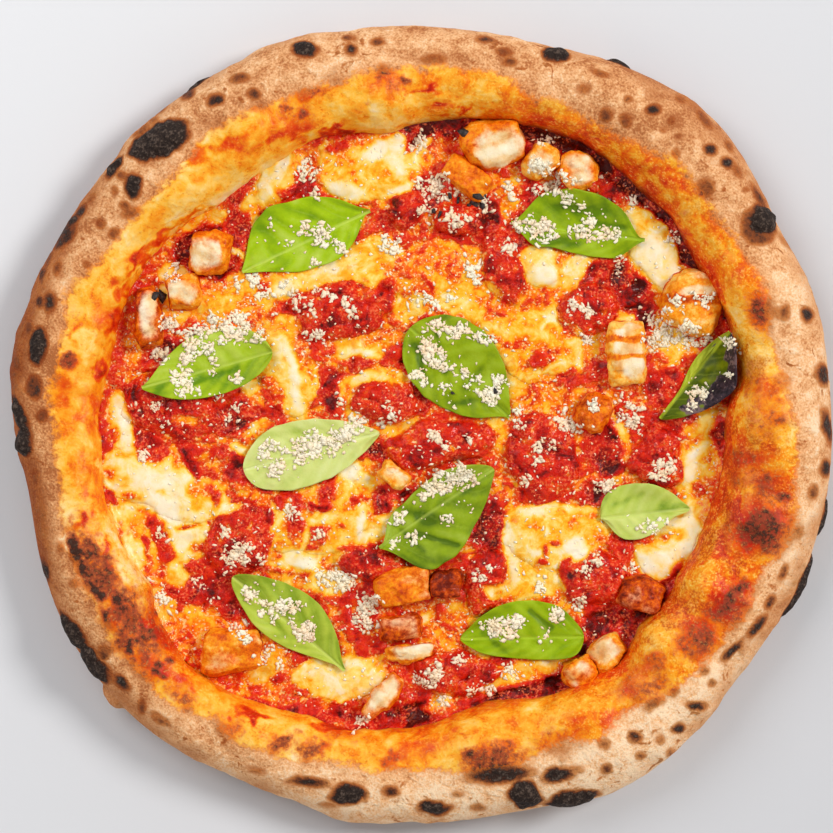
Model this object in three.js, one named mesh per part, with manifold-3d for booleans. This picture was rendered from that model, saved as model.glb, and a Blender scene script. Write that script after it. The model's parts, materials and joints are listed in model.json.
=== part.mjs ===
// A whole margherita pizza, 310 mm across, with pieces of breaded chicken. It is baked in a wood oven, so its rim is
// puffed, blistered and charred. Millimetres, +Z up. The pizza lies flat on z = 0, and angles run anticlockwise
// from +X in degrees.
import * as THREE from "three";
import { mergeVertices } from "three/addons/utils/BufferGeometryUtils.js";
import Module from "manifold-3d";

const wasm = await Module();
wasm.setup();

// ---- Driving dimensions ----

const RIM_REACH = [ // from the middle to the rim's outer edge, every 10 degrees
  155.2, 155.8, 155.2, 154.8, 158.2, 158.6, 155.4, 150.6, 149.4, 149.8, 150.6, 152.6,
  151.6, 152.4, 151.4, 152.0, 152.8, 154.6, 151.2, 148.4, 150.4, 152.6, 153.2, 152.6,
  149.6, 148.6, 150.6, 148.6, 149.0, 151.4, 156.0, 155.6, 153.2, 153.6, 155.2, 155.4,
];
const WELL_REACH = [ // from the middle to the foot of the rim's inner side, every 10 degrees
  115.5, 120.5, 121.5, 120.5, 121.5, 122.0, 121.5, 119.5, 117.0, 113.5, 112.0, 113.5,
  112.0, 111.0, 114.5, 118.0, 118.5, 117.5, 119.0, 119.5, 119.0, 119.0, 122.0, 123.0,
  120.5, 116.5, 116.0, 112.5, 108.5, 109.0, 114.0, 116.5, 113.5, 113.5, 113.5, 114.5,
];
const CREST_HEIGHT = [27, 26, 25, 24, 26, 23, 24, 25, 23, 25, 27, 26]; // of the rim, every 30 degrees
const DOUGH_FLOOR = 4.5; // thickness of the base under the sauce
const SAUCE_TOP = 7.5;
const SAUCE_RELIEF = 0.8;
const REST_GAP = 0.3; // between pieces that touch
const CUT_GAP = 0.35; // round a piece that is pressed into its neighbour
const LEAF_THICKNESS = 0.8;
const GRAIN_RADIUS = 1.5; // of the coarsest shreds of grated cheese

// Where the dough has swollen: the middle of each swelling, its radius and how far it stands out.
const SWELLINGS = [
  { x: -14, y: 121, radius: 15, rise: 4.0 },
  { x: 22, y: 126, radius: 18, rise: 1.5 },
  { x: -62, y: 108, radius: 17, rise: 2.5 },
  { x: -92, y: 84, radius: 16, rise: 1.5 },
  { x: -128, y: 28, radius: 16, rise: 1.5 },
  { x: -122, y: -12, radius: 18, rise: 1.5 },
  { x: -112, y: -66, radius: 17, rise: 3.0 },
  { x: -62, y: -116, radius: 14, rise: 2.0 },
  { x: 22, y: -118, radius: 15, rise: 3.0 },
  { x: 62, y: -106, radius: 13, rise: 2.5 },
  { x: 90, y: -80, radius: 12, rise: 3.5 },
  { x: 108, y: -60, radius: 12, rise: 3.0 },
  { x: 128, y: -37, radius: 13, rise: 3.0 },
  { x: 129, y: 2, radius: 17, rise: 4.0 },
  { x: 122, y: 52, radius: 13, rise: 2.0 },
  { x: 96, y: 96, radius: 20, rise: 1.5 },
];

// Charred blisters on the rim: half length, half width and the turn of the long way.
const BLISTERS = [
  { x: -96, y: 106, long: 11.0, wide: 6.5, turn: 24, rise: 2.6 },
  { x: -113, y: 97, long: 3.8, wide: 2.4, turn: 60, rise: 1.6 },
  { x: -106, y: 90, long: 3.4, wide: 2.8, turn: 90, rise: 1.6 },
  { x: -141, y: 29, long: 5.0, wide: 3.0, turn: 80, rise: 1.8 },
  { x: -149, y: 4, long: 6.5, wide: 3.0, turn: 115, rise: 2.2 },
  { x: -147, y: -6, long: 4.8, wide: 4.2, turn: 90, rise: 2.8 },
  { x: -129, y: -77, long: 7.5, wide: 4.0, turn: -50, rise: 2.4 },
  { x: -121, y: -89, long: 8.0, wide: 4.0, turn: -55, rise: 2.4 },
  { x: -115, y: -102, long: 5.0, wide: 3.6, turn: 20, rise: 2.6 },
  { x: -26, y: -137, long: 5.4, wide: 3.6, turn: 0, rise: 1.4 },
  { x: 6, y: -143, long: 4.6, wide: 2.6, turn: 0, rise: 1.4 },
  { x: 40, y: -138, long: 6.6, wide: 4.8, turn: -40, rise: 2.4 },
  { x: 58, y: -139.5, long: 8.4, wide: 5.0, turn: 8, rise: 2.6 },
  { x: 142.5, y: -61, long: 12.5, wide: 3.6, turn: 58, rise: 2.4 },
  { x: 151.5, y: -34, long: 7.0, wide: 2.6, turn: 80, rise: 1.6 },
  { x: 129, y: 76, long: 5.6, wide: 5.2, turn: 0, rise: 3.0 },
  { x: 51, y: 138, long: 4.4, wide: 3.4, turn: 0, rise: 2.2 },
  { x: 75, y: 135.5, long: 4.5, wide: 2.4, turn: -25, rise: 1.6 },
  { x: -42, y: 140, long: 3.8, wide: 2.6, turn: -20, rise: 1.4 },
  { x: -82, y: 127.5, long: 4.2, wide: 2.2, turn: 35, rise: 1.5 },
];

// Toppings: the middle of each, its length, width and height, and the turn of its length.
const CHICKEN = [
  { x: 28, y: 105.5, long: 22, wide: 17, high: 9, turn: 8 },
  { x: 19, y: 93, long: 18, wide: 11, high: 7, turn: -35 },
  { x: 46, y: 99, long: 13, wide: 12, high: 7, turn: 80 },
  { x: 60, y: 95, long: 14, wide: 13, high: 8, turn: -20 },
  { x: -78, y: 65, long: 17, wide: 14, high: 8, turn: 0 },
  { x: -101.5, y: 40, long: 24, wide: 9, high: 8, turn: 97 },
  { x: -88, y: 50, long: 14, wide: 13, high: 7, turn: 20 },
  { x: 103, y: 46, long: 24, wide: 19, high: 9, turn: 95 },
  { x: 78, y: 27, long: 27, wide: 14, high: 7, turn: 93 },
  { x: -9, y: -18.5, long: 12, wide: 8, high: 7, turn: -35 },
  { x: -6, y: -61, long: 21, wide: 15, high: 8, turn: 15 },
  { x: 11, y: -60, long: 12, wide: 11, high: 7, turn: 0 },
  { x: -7, y: -76, long: 16, wide: 9, high: 7, turn: 5 },
  { x: -3, y: -85.5, long: 18, wide: 6, high: 5, turn: 5 },
  { x: -13, y: -102, long: 20, wide: 7.5, high: 7, turn: 52 },
  { x: -70, y: -85, long: 24, wide: 17, high: 8, turn: 8 },
  { x: 84, y: -64, long: 17, wide: 12, high: 8, turn: -15 },
  { x: 71, y: -85, long: 13, wide: 11, high: 8, turn: 35 },
  { x: 61, y: -92.5, long: 12, wide: 11, high: 8, turn: 70 },
  { x: 66, y: 5, long: 14, wide: 12, high: 7, turn: 80 },
];
const TOMATO = [
  { x: -29, y: 43, long: 42, wide: 21, high: 5.0, turn: 5 },
  { x: -93, y: 6, long: 36, wide: 24, high: 5.0, turn: -10 },
  { x: -12, y: 9, long: 28, wide: 15, high: 5.5, turn: 0 },
  { x: 8, y: -7, long: 42, wide: 17, high: 5.5, turn: 8 },
  { x: 47, y: -12, long: 36, wide: 26, high: 5.0, turn: 100 },
  { x: 64, y: 43, long: 24, wide: 19, high: 5.0, turn: 35 },
  { x: 90, y: -13, long: 24, wide: 20, high: 5.0, turn: 90 },
  { x: -4, y: 81, long: 15, wide: 13, high: 5.5, turn: 60 },
  { x: 16, y: 77, long: 19, wide: 13, high: 5.5, turn: 0 },
  { x: 32, y: 59, long: 28, wide: 14, high: 4.5, turn: 110 },
  { x: -67, y: -43, long: 32, wide: 24, high: 4.5, turn: 60 },
  { x: -18, y: -52, long: 26, wide: 14, high: 5.0, turn: -10 },
  { x: 25.5, y: -58.5, long: 28, wide: 14, high: 5.0, turn: 72 },
  { x: 14, y: -93, long: 32, wide: 17, high: 5.0, turn: -12 },
  { x: 66, y: -57, long: 26, wide: 22, high: 5.0, turn: 0 },
];
const MOZZARELLA = [
  { x: -19, y: 97, long: 42, wide: 25, high: 3.6, turn: 8 },
  { x: -52, y: 92, long: 24, wide: 12, high: 3.2, turn: 52 },
  { x: 88, y: 67, long: 36, wide: 15, high: 3.4, turn: -62 },
  { x: 46, y: 60, long: 18, wide: 15, high: 3.4, turn: 90 },
  { x: 3, y: 58, long: 30, wide: 20, high: 3.0, turn: 20 },
  { x: -48, y: 24, long: 42, wide: 22, high: 3.0, turn: 95 },
  { x: 42, y: 31, long: 38, wide: 26, high: 3.2, turn: -12 },
  { x: -96, y: -23, long: 46, wide: 22, high: 3.6, turn: -12 },
  { x: -38, y: -35, long: 40, wide: 26, high: 3.0, turn: 15 },
  { x: 53, y: -42, long: 38, wide: 26, high: 3.8, turn: 0 },
  { x: 94, y: -46, long: 27, wide: 21, high: 3.4, turn: 55 },
  { x: -30, y: -95, long: 34, wide: 17, high: 3.0, turn: 0 },
];

// Basil leaves, from the stalk's end to the tip. The left and right edges are each given by how full the leaf is at
// every sixth of its length: an even fullness makes an ellipse of that half width. Cup lifts the edges, and a cup
// under 0 lifts the midrib.
const BASIL = [
  {
    stalk: [-18, 80.5],
    tip: [-66, 57.5],
    left: [0, 9, 11.7, 10.6, 9.1, 5.6, 3],
    right: [4, 12, 15.2, 16.3, 18.3, 15.8, 5],
    cup: 1.5,
  },
  {
    stalk: [85, 69.3],
    tip: [35, 76.1],
    left: [3, 9.6, 9.1, 8.4, 7.8, 9.4, 3],
    right: [0, 11.8, 14.7, 15.4, 15.5, 14.2, 2],
    cup: 1.5,
  },
  {
    stalk: [-54.7, 27.5],
    tip: [-103.5, 14],
    left: [9, 10.2, 10.3, 10.2, 9.8, 8.5, 5],
    right: [16, 14.8, 14.4, 14, 12.1, 8.3, 2],
    cup: 2,
  },
  {
    stalk: [-3, 36.5],
    tip: [34.3, 2.8],
    left: [17, 18.8, 17.7, 17.3, 15.4, 11.8, 6],
    right: [15, 16.5, 15.6, 15.1, 13.4, 10.5, 2],
    cup: 1,
  },
  {
    stalk: [-14.5, -3],
    tip: [-65.5, -17],
    left: [5, 8.5, 10.6, 12, 13, 13.7, 16],
    right: [5.5, 8.9, 10.6, 12.5, 13.7, 14.1, 12],
    cup: -1,
  },
  {
    stalk: [-14.5, -46],
    tip: [28.5, -16.5],
    left: [0, 8.9, 9.1, 10.3, 11, 10.2, 8],
    right: [4, 20.5, 19.5, 17.8, 14.1, 11, 6],
    cup: 1.5,
  },
  {
    stalk: [-27.5, -92],
    tip: [-69.5, -57],
    left: [0, 3.5, 6.7, 8.7, 9.4, 8.3, 7],
    right: [3, 9.4, 12.3, 13.1, 12.1, 10.2, 8],
    cup: 1.5,
  },
  {
    stalk: [62.3, -79.5],
    tip: [16, -80.3],
    left: [14, 10.7, 8.9, 8, 7.6, 7.2, 5],
    right: [10, 14, 14.3, 14.1, 13.4, 11.1, 6],
    cup: 1.5,
  },
  {
    stalk: [68.5, -35],
    tip: [102, -31.4],
    left: [16, 13.7, 12.3, 11.5, 10.5, 8.5, 4],
    right: [2, 9.4, 9.9, 8.7, 6.4, 3.1, 3],
    cup: -1,
  },
  {
    stalk: [91, 2.4],
    tip: [116.3, 34.8],
    left: [0, 0.7, 1.1, 2.8, 3.7, 3.5, 3],
    right: [6, 9.7, 12.2, 14.1, 14.6, 11.4, 8],
    cup: 3,
  },
];

// ---- Small tools ----

// A seeded stream of numbers from 0 to 1.
function randomStream(seed) {
  let state = seed * 2654435761;
  return () => {
    state = (state + 0x6d2b79f5) | 0;
    let mixed = Math.imul(state ^ (state >>> 15), 1 | state);
    mixed = (mixed + Math.imul(mixed ^ (mixed >>> 7), 61 | mixed)) ^ mixed;
    return ((mixed ^ (mixed >>> 14)) >>> 0) / 4294967296;
  };
}

// A smooth curve's value between its second and third of four evenly spaced values.
function smoothBetween([a, b, c, d], share) {
  return b + 0.5 * share * (c - a + share * (2 * a - 5 * b + 4 * c - d + share * (3 * (b - c) + d - a)));
}

// The value at an angle of a closed smooth curve through evenly spaced values.
function around(values, degrees) {
  const count = values.length;
  const place = ((((degrees / 360) % 1) + 1) % 1) * count;
  const first = Math.floor(place);
  const four = [-1, 0, 1, 2].map((step) => values[(first + step + count) % count]);
  return smoothBetween(four, place - first);
}

// The value at a share of the length of an open smooth curve through evenly spaced values.
function between(values, share) {
  const last = values.length - 1;
  const first = Math.min(Math.floor(share * last), last - 1);
  const four = [-1, 0, 1, 2].map((step) => values[THREE.MathUtils.clamp(first + step, 0, last)]);
  return smoothBetween(four, share * last - first);
}

// A sine or cosine raised to a power, with its sign kept: under 1 squares a curve up, over 1 thins it.
const bend = (value, power) => Math.sign(value) * Math.abs(value) ** power;

// A point of the row's own frame, turned and moved to its place on the pizza.
function onPizza(row, along, across) {
  const turn = THREE.MathUtils.degToRad(row.turn);
  return [
    row.x + along * Math.cos(turn) - across * Math.sin(turn),
    row.y + along * Math.sin(turn) + across * Math.cos(turn),
  ];
}

// A closed surface through rings of points, from the lowest ring to the highest, shut by a pole at each end.
function closedSurface(lowPole, rings, highPole) {
  const count = rings[0].length;
  const points = [lowPole, ...rings.flat(), highPole];
  const last = points.length - 1;
  const faces = [];
  for (let i = 0; i < count; i += 1) {
    const next = (i + 1) % count;
    faces.push(0, 1 + next, 1 + i);
    for (let ring = 0; ring + 1 < rings.length; ring += 1) {
      const low = 1 + ring * count;
      const high = low + count;
      faces.push(low + i, low + next, high + next, low + i, high + next, high + i);
    }
    const top = 1 + (rings.length - 1) * count;
    faces.push(top + i, top + next, last);
  }
  return new THREE.BufferGeometry().setFromPoints(points).setIndex(faces);
}

function solidFrom(geometry) {
  const bare = geometry.clone();
  bare.deleteAttribute("normal");
  bare.deleteAttribute("uv");
  const merged = mergeVertices(bare, 1e-4);
  return new wasm.Manifold(
    new wasm.Mesh({
      numProp: 3,
      vertProperties: new Float32Array(merged.attributes.position.array),
      triVerts: new Uint32Array(merged.index.array),
    }),
  );
}

function geometryFrom(solid) {
  const mesh = solid.getMesh();
  return new THREE.BufferGeometry()
    .setAttribute("position", new THREE.BufferAttribute(new Float32Array(mesh.vertProperties), 3))
    .setIndex(new THREE.BufferAttribute(new Uint32Array(mesh.triVerts), 1));
}

const UP = new THREE.Vector3(0, 0, 1);
const DOWN = new THREE.Vector3(0, 0, -1);
const ABOVE_ALL = 80;

// The height of the highest surface of some meshes at a point of the plan, or null beside them.
function heightOver(meshes, x, y) {
  const ray = new THREE.Raycaster(new THREE.Vector3(x, y, ABOVE_ALL), DOWN);
  const hits = ray.intersectObjects(meshes, false);
  return hits.length ? hits[0].point.z : null;
}

// A solid's largest body, without the scraps that a cut leaves loose.
function mainBody(solid) {
  const bodies = solid.decompose().sort((a, b) => b.volume() - a.volume());
  return bodies[0];
}

// ---- Crust ----

const CRUST_SECTORS = 80;
const OUTER_STEPS = 6; // from under the rim, round its outside, to its crest
const INNER_STEPS = 4; // from the crest down to the foot in the well
const BELLY_SHARE = 0.4; // height of the rim's widest place, as a share of its crest
const OUTER_ROUND = 0.85;
const INNER_ROUND = 0.8;

// How far the swellings push a point of the rim out.
function swellingAt(x, y) {
  return SWELLINGS.reduce((sum, swelling) => {
    const away = Math.hypot(x - swelling.x, y - swelling.y) / swelling.radius;
    return sum + swelling.rise * Math.exp(-2 * away * away);
  }, 0);
}

// The rim's section at an angle: points from under the rim, over it and down to the well.
function rimSection(degrees, grow) {
  const reach = around(RIM_REACH, degrees) + grow;
  const well = around(WELL_REACH, degrees) - grow;
  const crest = around(CREST_HEIGHT, degrees) + grow;
  const half = (reach - well) / 2;
  const middle = (reach + well) / 2;
  const belly = crest * BELLY_SHARE;
  const floor = DOUGH_FLOOR + grow;
  const section = [];
  for (let step = 0; step <= OUTER_STEPS; step += 1) {
    const turn = -Math.PI / 2 + (Math.PI * step) / OUTER_STEPS;
    const rise = Math.sin(turn) < 0 ? belly : crest - belly;
    section.push([middle + half * bend(Math.cos(turn), OUTER_ROUND), belly + rise * Math.sin(turn)]);
  }
  for (let step = 1; step <= INNER_STEPS; step += 1) {
    const turn = (Math.PI / 2) * (step / INNER_STEPS);
    const down = bend(Math.cos(turn), INNER_ROUND);
    section.push([middle - half * bend(Math.sin(turn), INNER_ROUND), floor + (crest - floor) * down]);
  }
  const radians = THREE.MathUtils.degToRad(degrees);
  return section.map(([radius, height], place) => {
    const push = new THREE.Vector2(radius - middle, height - belly).normalize();
    const free = place > 0 && place < section.length - 1 && height > belly / 2;
    const swell = free ? swellingAt(radius * Math.cos(radians), radius * Math.sin(radians)) : 0;
    const wide = radius + swell * push.x;
    return new THREE.Vector3(wide * Math.cos(radians), wide * Math.sin(radians), height + swell * push.y);
  });
}

function crustBody(grow) {
  const sections = Array.from({ length: CRUST_SECTORS }, (_, i) => rimSection((360 * i) / CRUST_SECTORS, grow));
  const rings = sections[0].map((_, place) => sections.map((section) => section[place]));
  const floor = new THREE.Vector3(0, 0, DOUGH_FLOOR + grow);
  return closedSurface(new THREE.Vector3(0, 0, 0), rings, floor);
}

// Where a place of the plan lies on the rim, and the rim's slope there. Places past its edge lie on its side.
function rimContact(rim, x, y) {
  const side = new THREE.Vector3(x, y, 0).normalize();
  const belly = around(CREST_HEIGHT, THREE.MathUtils.radToDeg(Math.atan2(y, x))) * BELLY_SHARE;
  const above = new THREE.Raycaster(new THREE.Vector3(x, y, ABOVE_ALL), DOWN);
  const beside = new THREE.Raycaster(new THREE.Vector3(2 * x, 2 * y, belly), side.negate());
  const [hit] = [...above.intersectObject(rim), ...beside.intersectObject(rim)];
  return { point: hit.point, normal: hit.face.normal };
}

// A blister is a flattened ball let halfway into the rim.
function blister(row, rim) {
  const { point, normal } = rimContact(rim, row.x, row.y);
  const ball = new THREE.IcosahedronGeometry(1, 1);
  ball.scale(row.long, row.wide, 2 * row.rise);
  ball.rotateZ(THREE.MathUtils.degToRad(row.turn));
  ball.applyQuaternion(new THREE.Quaternion().setFromUnitVectors(UP, normal));
  const middle = point.clone().addScaledVector(normal, -row.rise);
  ball.translate(middle.x, middle.y, middle.z);
  return solidFrom(ball);
}

function crustSolid() {
  const body = crustBody(0);
  body.computeBoundingSphere();
  const rim = new THREE.Mesh(body);
  return BLISTERS.reduce((crust, row) => crust.add(blister(row, rim)), solidFrom(body));
}

const rimCutter = solidFrom(crustBody(CUT_GAP));

// ---- Sauce ----

const SAUCE_SECTORS = 60;
const SAUCE_RINGS = [1, 0.9, 0.66, 0.36]; // each ring's share of the way to the well's edge

// A thin layer that fills the well to the foot of the rim. It lies in shallow dips between the toppings.
function sauceSolid() {
  const ringAt = (share, heightAt) =>
    Array.from({ length: SAUCE_SECTORS }, (_, i) => {
      const degrees = (360 * i) / SAUCE_SECTORS;
      const radians = THREE.MathUtils.degToRad(degrees);
      const radius = share * (around(WELL_REACH, degrees) - CUT_GAP - REST_GAP);
      const [x, y] = [radius * Math.cos(radians), radius * Math.sin(radians)];
      return new THREE.Vector3(x, y, heightAt(x, y));
    });
  const bottom = DOUGH_FLOOR + REST_GAP;
  const dip = (x, y) => SAUCE_TOP - SAUCE_RELIEF * Math.abs(Math.sin(x / 11 + 1) * Math.sin(y / 9 + x / 31));
  const rings = [ringAt(1, () => bottom), ...SAUCE_RINGS.map((share) => ringAt(share, dip))];
  const middle = new THREE.Vector3(0, 0, SAUCE_TOP);
  return solidFrom(closedSurface(new THREE.Vector3(0, 0, bottom), rings, middle)).subtract(rimCutter);
}

// ---- Toppings on the sauce ----

// How each kind of topping is shaped. Corner is 2 for a round outline and more for a square one, shoulder the same
// for its side. Ragged is how far the outline wanders, and crag how rough the top is, as shares of its size.
const STYLES = {
  chicken: { sectors: 10, rings: 3, corner: 3, shoulder: 4, ragged: 0.06, crag: 0.09 },
  tomato: { sectors: 14, rings: 3, corner: 2.2, shoulder: 2.6, ragged: 0.12, crag: 0.12 },
  mozzarella: { sectors: 14, rings: 3, corner: 2.2, shoulder: 3, ragged: 0.14, crag: 0.06 },
};
const LOBES = [2, 3, 5];

// A rounded, ragged lump with a flat underside that rests on the sauce.
function lump(row, style, seed, grow) {
  const random = randomStream(seed);
  const lobes = LOBES.map((count) => ({ count, phase: 2 * Math.PI * random(), size: style.ragged * random() }));
  const lean = { phase: 2 * Math.PI * random(), size: style.crag * 1.5 };
  const bottom = SAUCE_TOP + REST_GAP - grow;
  const rings = Array.from({ length: style.rings }, (_, ring) => {
    const climb = (Math.PI / 2) * (ring / style.rings);
    const share = Math.cos(climb) ** (2 / style.shoulder);
    const level = Math.sin(climb) ** (2 / style.shoulder);
    return Array.from({ length: style.sectors }, (_, i) => {
      const angle = (2 * Math.PI * i) / style.sectors;
      const square = Math.hypot(
        bend(Math.cos(angle), style.corner / 2),
        bend(Math.sin(angle), style.corner / 2),
      ) ** (-2 / style.corner);
      const wander = lobes.reduce((sum, lobe) => sum + lobe.size * Math.sin(lobe.count * angle + lobe.phase), 1);
      const rough = ring ? 1 + style.crag * (random() * 2 - 1) : 1;
      const out = square * wander * share * rough;
      const tilt = 1 + lean.size * share * Math.cos(angle + lean.phase);
      const [x, y] = onPizza(
        row,
        (row.long / 2) * out * Math.cos(angle) + grow * Math.cos(angle),
        (row.wide / 2) * out * Math.sin(angle) + grow * Math.sin(angle),
      );
      const height = ring ? row.high * level * tilt * (1 + style.crag * (random() * 2 - 1)) + 2 * grow : 0;
      return new THREE.Vector3(x, y, bottom + height);
    });
  });
  const low = new THREE.Vector3(row.x, row.y, bottom);
  const high = new THREE.Vector3(row.x, row.y, bottom + row.high + 2 * grow);
  return solidFrom(closedSurface(low, rings, high));
}

// The coarsest shreds of grated cheese on a surface, as small uneven balls fused to it.
function grains(places, mesh, seed, grow) {
  const random = randomStream(seed);
  return places.map(([x, y]) => {
    const radius = GRAIN_RADIUS * (0.75 + 0.5 * random());
    const ball = new THREE.IcosahedronGeometry(radius + grow, 0);
    ball.rotateX(Math.PI * random());
    ball.rotateY(Math.PI * random());
    ball.scale(1.2, 0.9, 0.75);
    ball.translate(x, y, heightOver([mesh], x, y) + radius / 4);
    return solidFrom(ball);
  });
}

const GRAINS_ON = { chicken: 1, tomato: 2, mozzarella: 1 };

// Places spread evenly over the middle of a topping by the golden angle.
function spreadPlaces(row, count) {
  return Array.from({ length: count }, (_, i) => {
    const angle = 2.4 * (i + 1);
    const share = 0.55 * Math.sqrt((i + 0.5) / count);
    return onPizza(row, (row.long / 2) * share * Math.cos(angle), (row.wide / 2) * share * Math.sin(angle));
  });
}

const settled = []; // the toppings so far, each with the room that it needs

// Adds a topping, cut round those that are already there.
function settle(name, kind, row, seed) {
  const style = STYLES[kind];
  const bare = new THREE.Mesh(geometryFrom(lump(row, style, seed, 0)));
  const places = spreadPlaces(row, GRAINS_ON[kind]);
  const make = (grow) =>
    grains(places, bare, seed, grow).reduce((sum, grain) => sum.add(grain), lump(row, style, seed, grow));
  const room = make(CUT_GAP);
  const near = settled.filter((other) => !other.room.intersect(room).isEmpty());
  const cut = near.reduce((solid, other) => solid.subtract(other.room), make(0).subtract(rimCutter));
  settled.push({ name, kind, room, solid: mainBody(cut.simplify(0.05)) });
}

CHICKEN.forEach((row, i) => settle(`chicken_${i + 1}`, "chicken", row, 101 + i));
TOMATO.forEach((row, i) => settle(`tomato_${i + 1}`, "tomato", row, 201 + i));
MOZZARELLA.forEach((row, i) => settle(`mozzarella_${i + 1}`, "mozzarella", row, 301 + i));

// ---- Basil ----

const LEAF_STATIONS = 9; // along the midrib
const LEAF_LANES = 5; // across it
const STALK_HALF = 0.7;
const DRAPE_REACH = 3.5; // a leaf is too stiff to follow anything narrower
const LEAF_GRAINS = 3;

// Half the leaf's width on one side at a share of its length.
function edgeReach(fullness, share) {
  return Math.max(STALK_HALF, between(fullness, share) * Math.sqrt(4 * share * (1 - share)));
}

// A point of the leaf's plan, with across from -1 at the right edge to 1 at the left.
function leafPlan(row, share, across) {
  const [from, to] = [new THREE.Vector2(...row.stalk), new THREE.Vector2(...row.tip)];
  const along = to.clone().sub(from);
  const left = new THREE.Vector2(-along.y, along.x).normalize();
  const side = across > 0 ? row.left : row.right;
  return from.addScaledVector(along, share).addScaledVector(left, across * edgeReach(side, share));
}

// The highest thing within the leaf's stiffness of a point.
function supportAt(meshes, point) {
  const places = Array.from({ length: 8 }, (_, i) => [
    point.x + DRAPE_REACH * Math.cos((i * Math.PI) / 4),
    point.y + DRAPE_REACH * Math.sin((i * Math.PI) / 4),
  ]);
  return Math.max(...[[point.x, point.y], ...places].map(([x, y]) => heightOver(meshes, x, y) ?? 0));
}

// A thin sheet over a grid of points, with its top and bottom split into triangles alike.
function sheetSolid(grid, thickness) {
  const [rows, columns] = [grid.length, grid[0].length];
  const low = grid.flat();
  const high = low.map((point) => new THREE.Vector3(point.x, point.y, point.z + thickness));
  const at = (row, column) => row * columns + column;
  const faces = [];
  for (let row = 0; row + 1 < rows; row += 1) {
    for (let column = 0; column + 1 < columns; column += 1) {
      const [a, b, c, d] = [at(row, column), at(row, column + 1), at(row + 1, column + 1), at(row + 1, column)];
      faces.push(a, b, c, a, c, d);
      const up = low.length;
      faces.push(up + a, up + c, up + b, up + a, up + d, up + c);
    }
  }
  const edge = [];
  for (let column = 0; column + 1 < columns; column += 1) edge.push(at(0, column));
  for (let row = 0; row + 1 < rows; row += 1) edge.push(at(row, columns - 1));
  for (let column = columns - 1; column > 0; column -= 1) edge.push(at(rows - 1, column));
  for (let row = rows - 1; row > 0; row -= 1) edge.push(at(row, 0));
  edge.forEach((a, i) => {
    const b = edge[(i + 1) % edge.length];
    const up = low.length;
    faces.push(a, up + a, up + b, a, up + b, b);
  });
  return solidFrom(new THREE.BufferGeometry().setFromPoints([...low, ...high]).setIndex(faces));
}

// A leaf that lies over what is under it, with its edges curled up or down by its cup.
function leafSolid(row, meshes, seed) {
  const plan = Array.from({ length: LEAF_STATIONS }, (_, i) => {
    const share = (1 - Math.cos((Math.PI * i) / (LEAF_STATIONS - 1))) / 2;
    return Array.from({ length: LEAF_LANES }, (_, j) => leafPlan(row, share, (2 * j) / (LEAF_LANES - 1) - 1));
  });
  const support = plan.map((lane) => lane.map((point) => supportAt(meshes, point)));
  const grid = plan.map((lane, i) =>
    lane.map((point, j) => {
      const across = (2 * j) / (LEAF_LANES - 1) - 1;
      const near = [support[i - 1]?.[j], support[i + 1]?.[j], lane[j - 1] && support[i][j - 1], support[i][j + 1]];
      const beside = near.filter((height) => height !== undefined);
      const mean = beside.reduce((sum, height) => sum + height, 0) / beside.length;
      const curl = row.cup > 0 ? row.cup * across * across : -row.cup * (1 - across * across);
      const height = Math.max(support[i][j], (support[i][j] + mean) / 2) + REST_GAP + curl;
      return new THREE.Vector3(point.x, point.y, height);
    }),
  );
  const sheet = sheetSolid(grid, LEAF_THICKNESS);
  const mesh = new THREE.Mesh(geometryFrom(sheet));
  const random = randomStream(seed);
  const places = Array.from({ length: LEAF_GRAINS }, (_, i) => {
    const share = 0.25 + (0.5 * (i + random())) / LEAF_GRAINS;
    const point = leafPlan(row, share, 0.9 * (random() - 0.5));
    return [point.x, point.y];
  });
  return grains(places, mesh, seed, 0).reduce((sum, grain) => sum.add(grain), sheet);
}

// ---- The pizza ----

const COLOURS = {
  crust: { color: 0xd9a878, roughness: 0.85 },
  sauce: { color: 0x9c1f10, roughness: 0.35 },
  chicken: { color: 0xd9822f, roughness: 0.65 },
  tomato: { color: 0xc4220f, roughness: 0.35 },
  mozzarella: { color: 0xf6e0a4, roughness: 0.4 },
  basil: { color: 0x6a9e1c, roughness: 0.45 },
};

function piece(name, kind, solid) {
  const mesh = new THREE.Mesh(
    geometryFrom(solid),
    new THREE.MeshStandardMaterial({ ...COLOURS[kind], metalness: 0 }),
  );
  mesh.name = name;
  mesh.geometry.computeVertexNormals();
  return mesh;
}

const pizza = new THREE.Group();
pizza.add(piece("crust", "crust", crustSolid()));
pizza.add(piece("tomato_sauce", "sauce", sauceSolid()));
settled.forEach(({ name, kind, solid }) => pizza.add(piece(name, kind, solid)));

const carriers = [...pizza.children];
BASIL.forEach((row, i) => pizza.add(piece(`basil_${i + 1}`, "basil", leafSolid(row, carriers, 401 + i))));

// The origin is under the middle of the pizza's box.
const box = new THREE.Box3().setFromObject(pizza);
pizza.position.set(-(box.min.x + box.max.x) / 2, -(box.min.y + box.max.y) / 2, -box.min.z);

export default pizza;
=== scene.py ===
"""A wood-fired margherita pizza with breaded chicken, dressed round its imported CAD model.

Everything is laid out in millimetres of the plan that part.mjs uses, and turned into metres of the frame
at the end. Heights come from the CAD nodes, so each piece lies where its solid lies.
"""

import json
import math

import bmesh
import bpy
import numpy as np
from mathutils import Matrix, Vector
from mathutils.bvhtree import BVHTree

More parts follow.
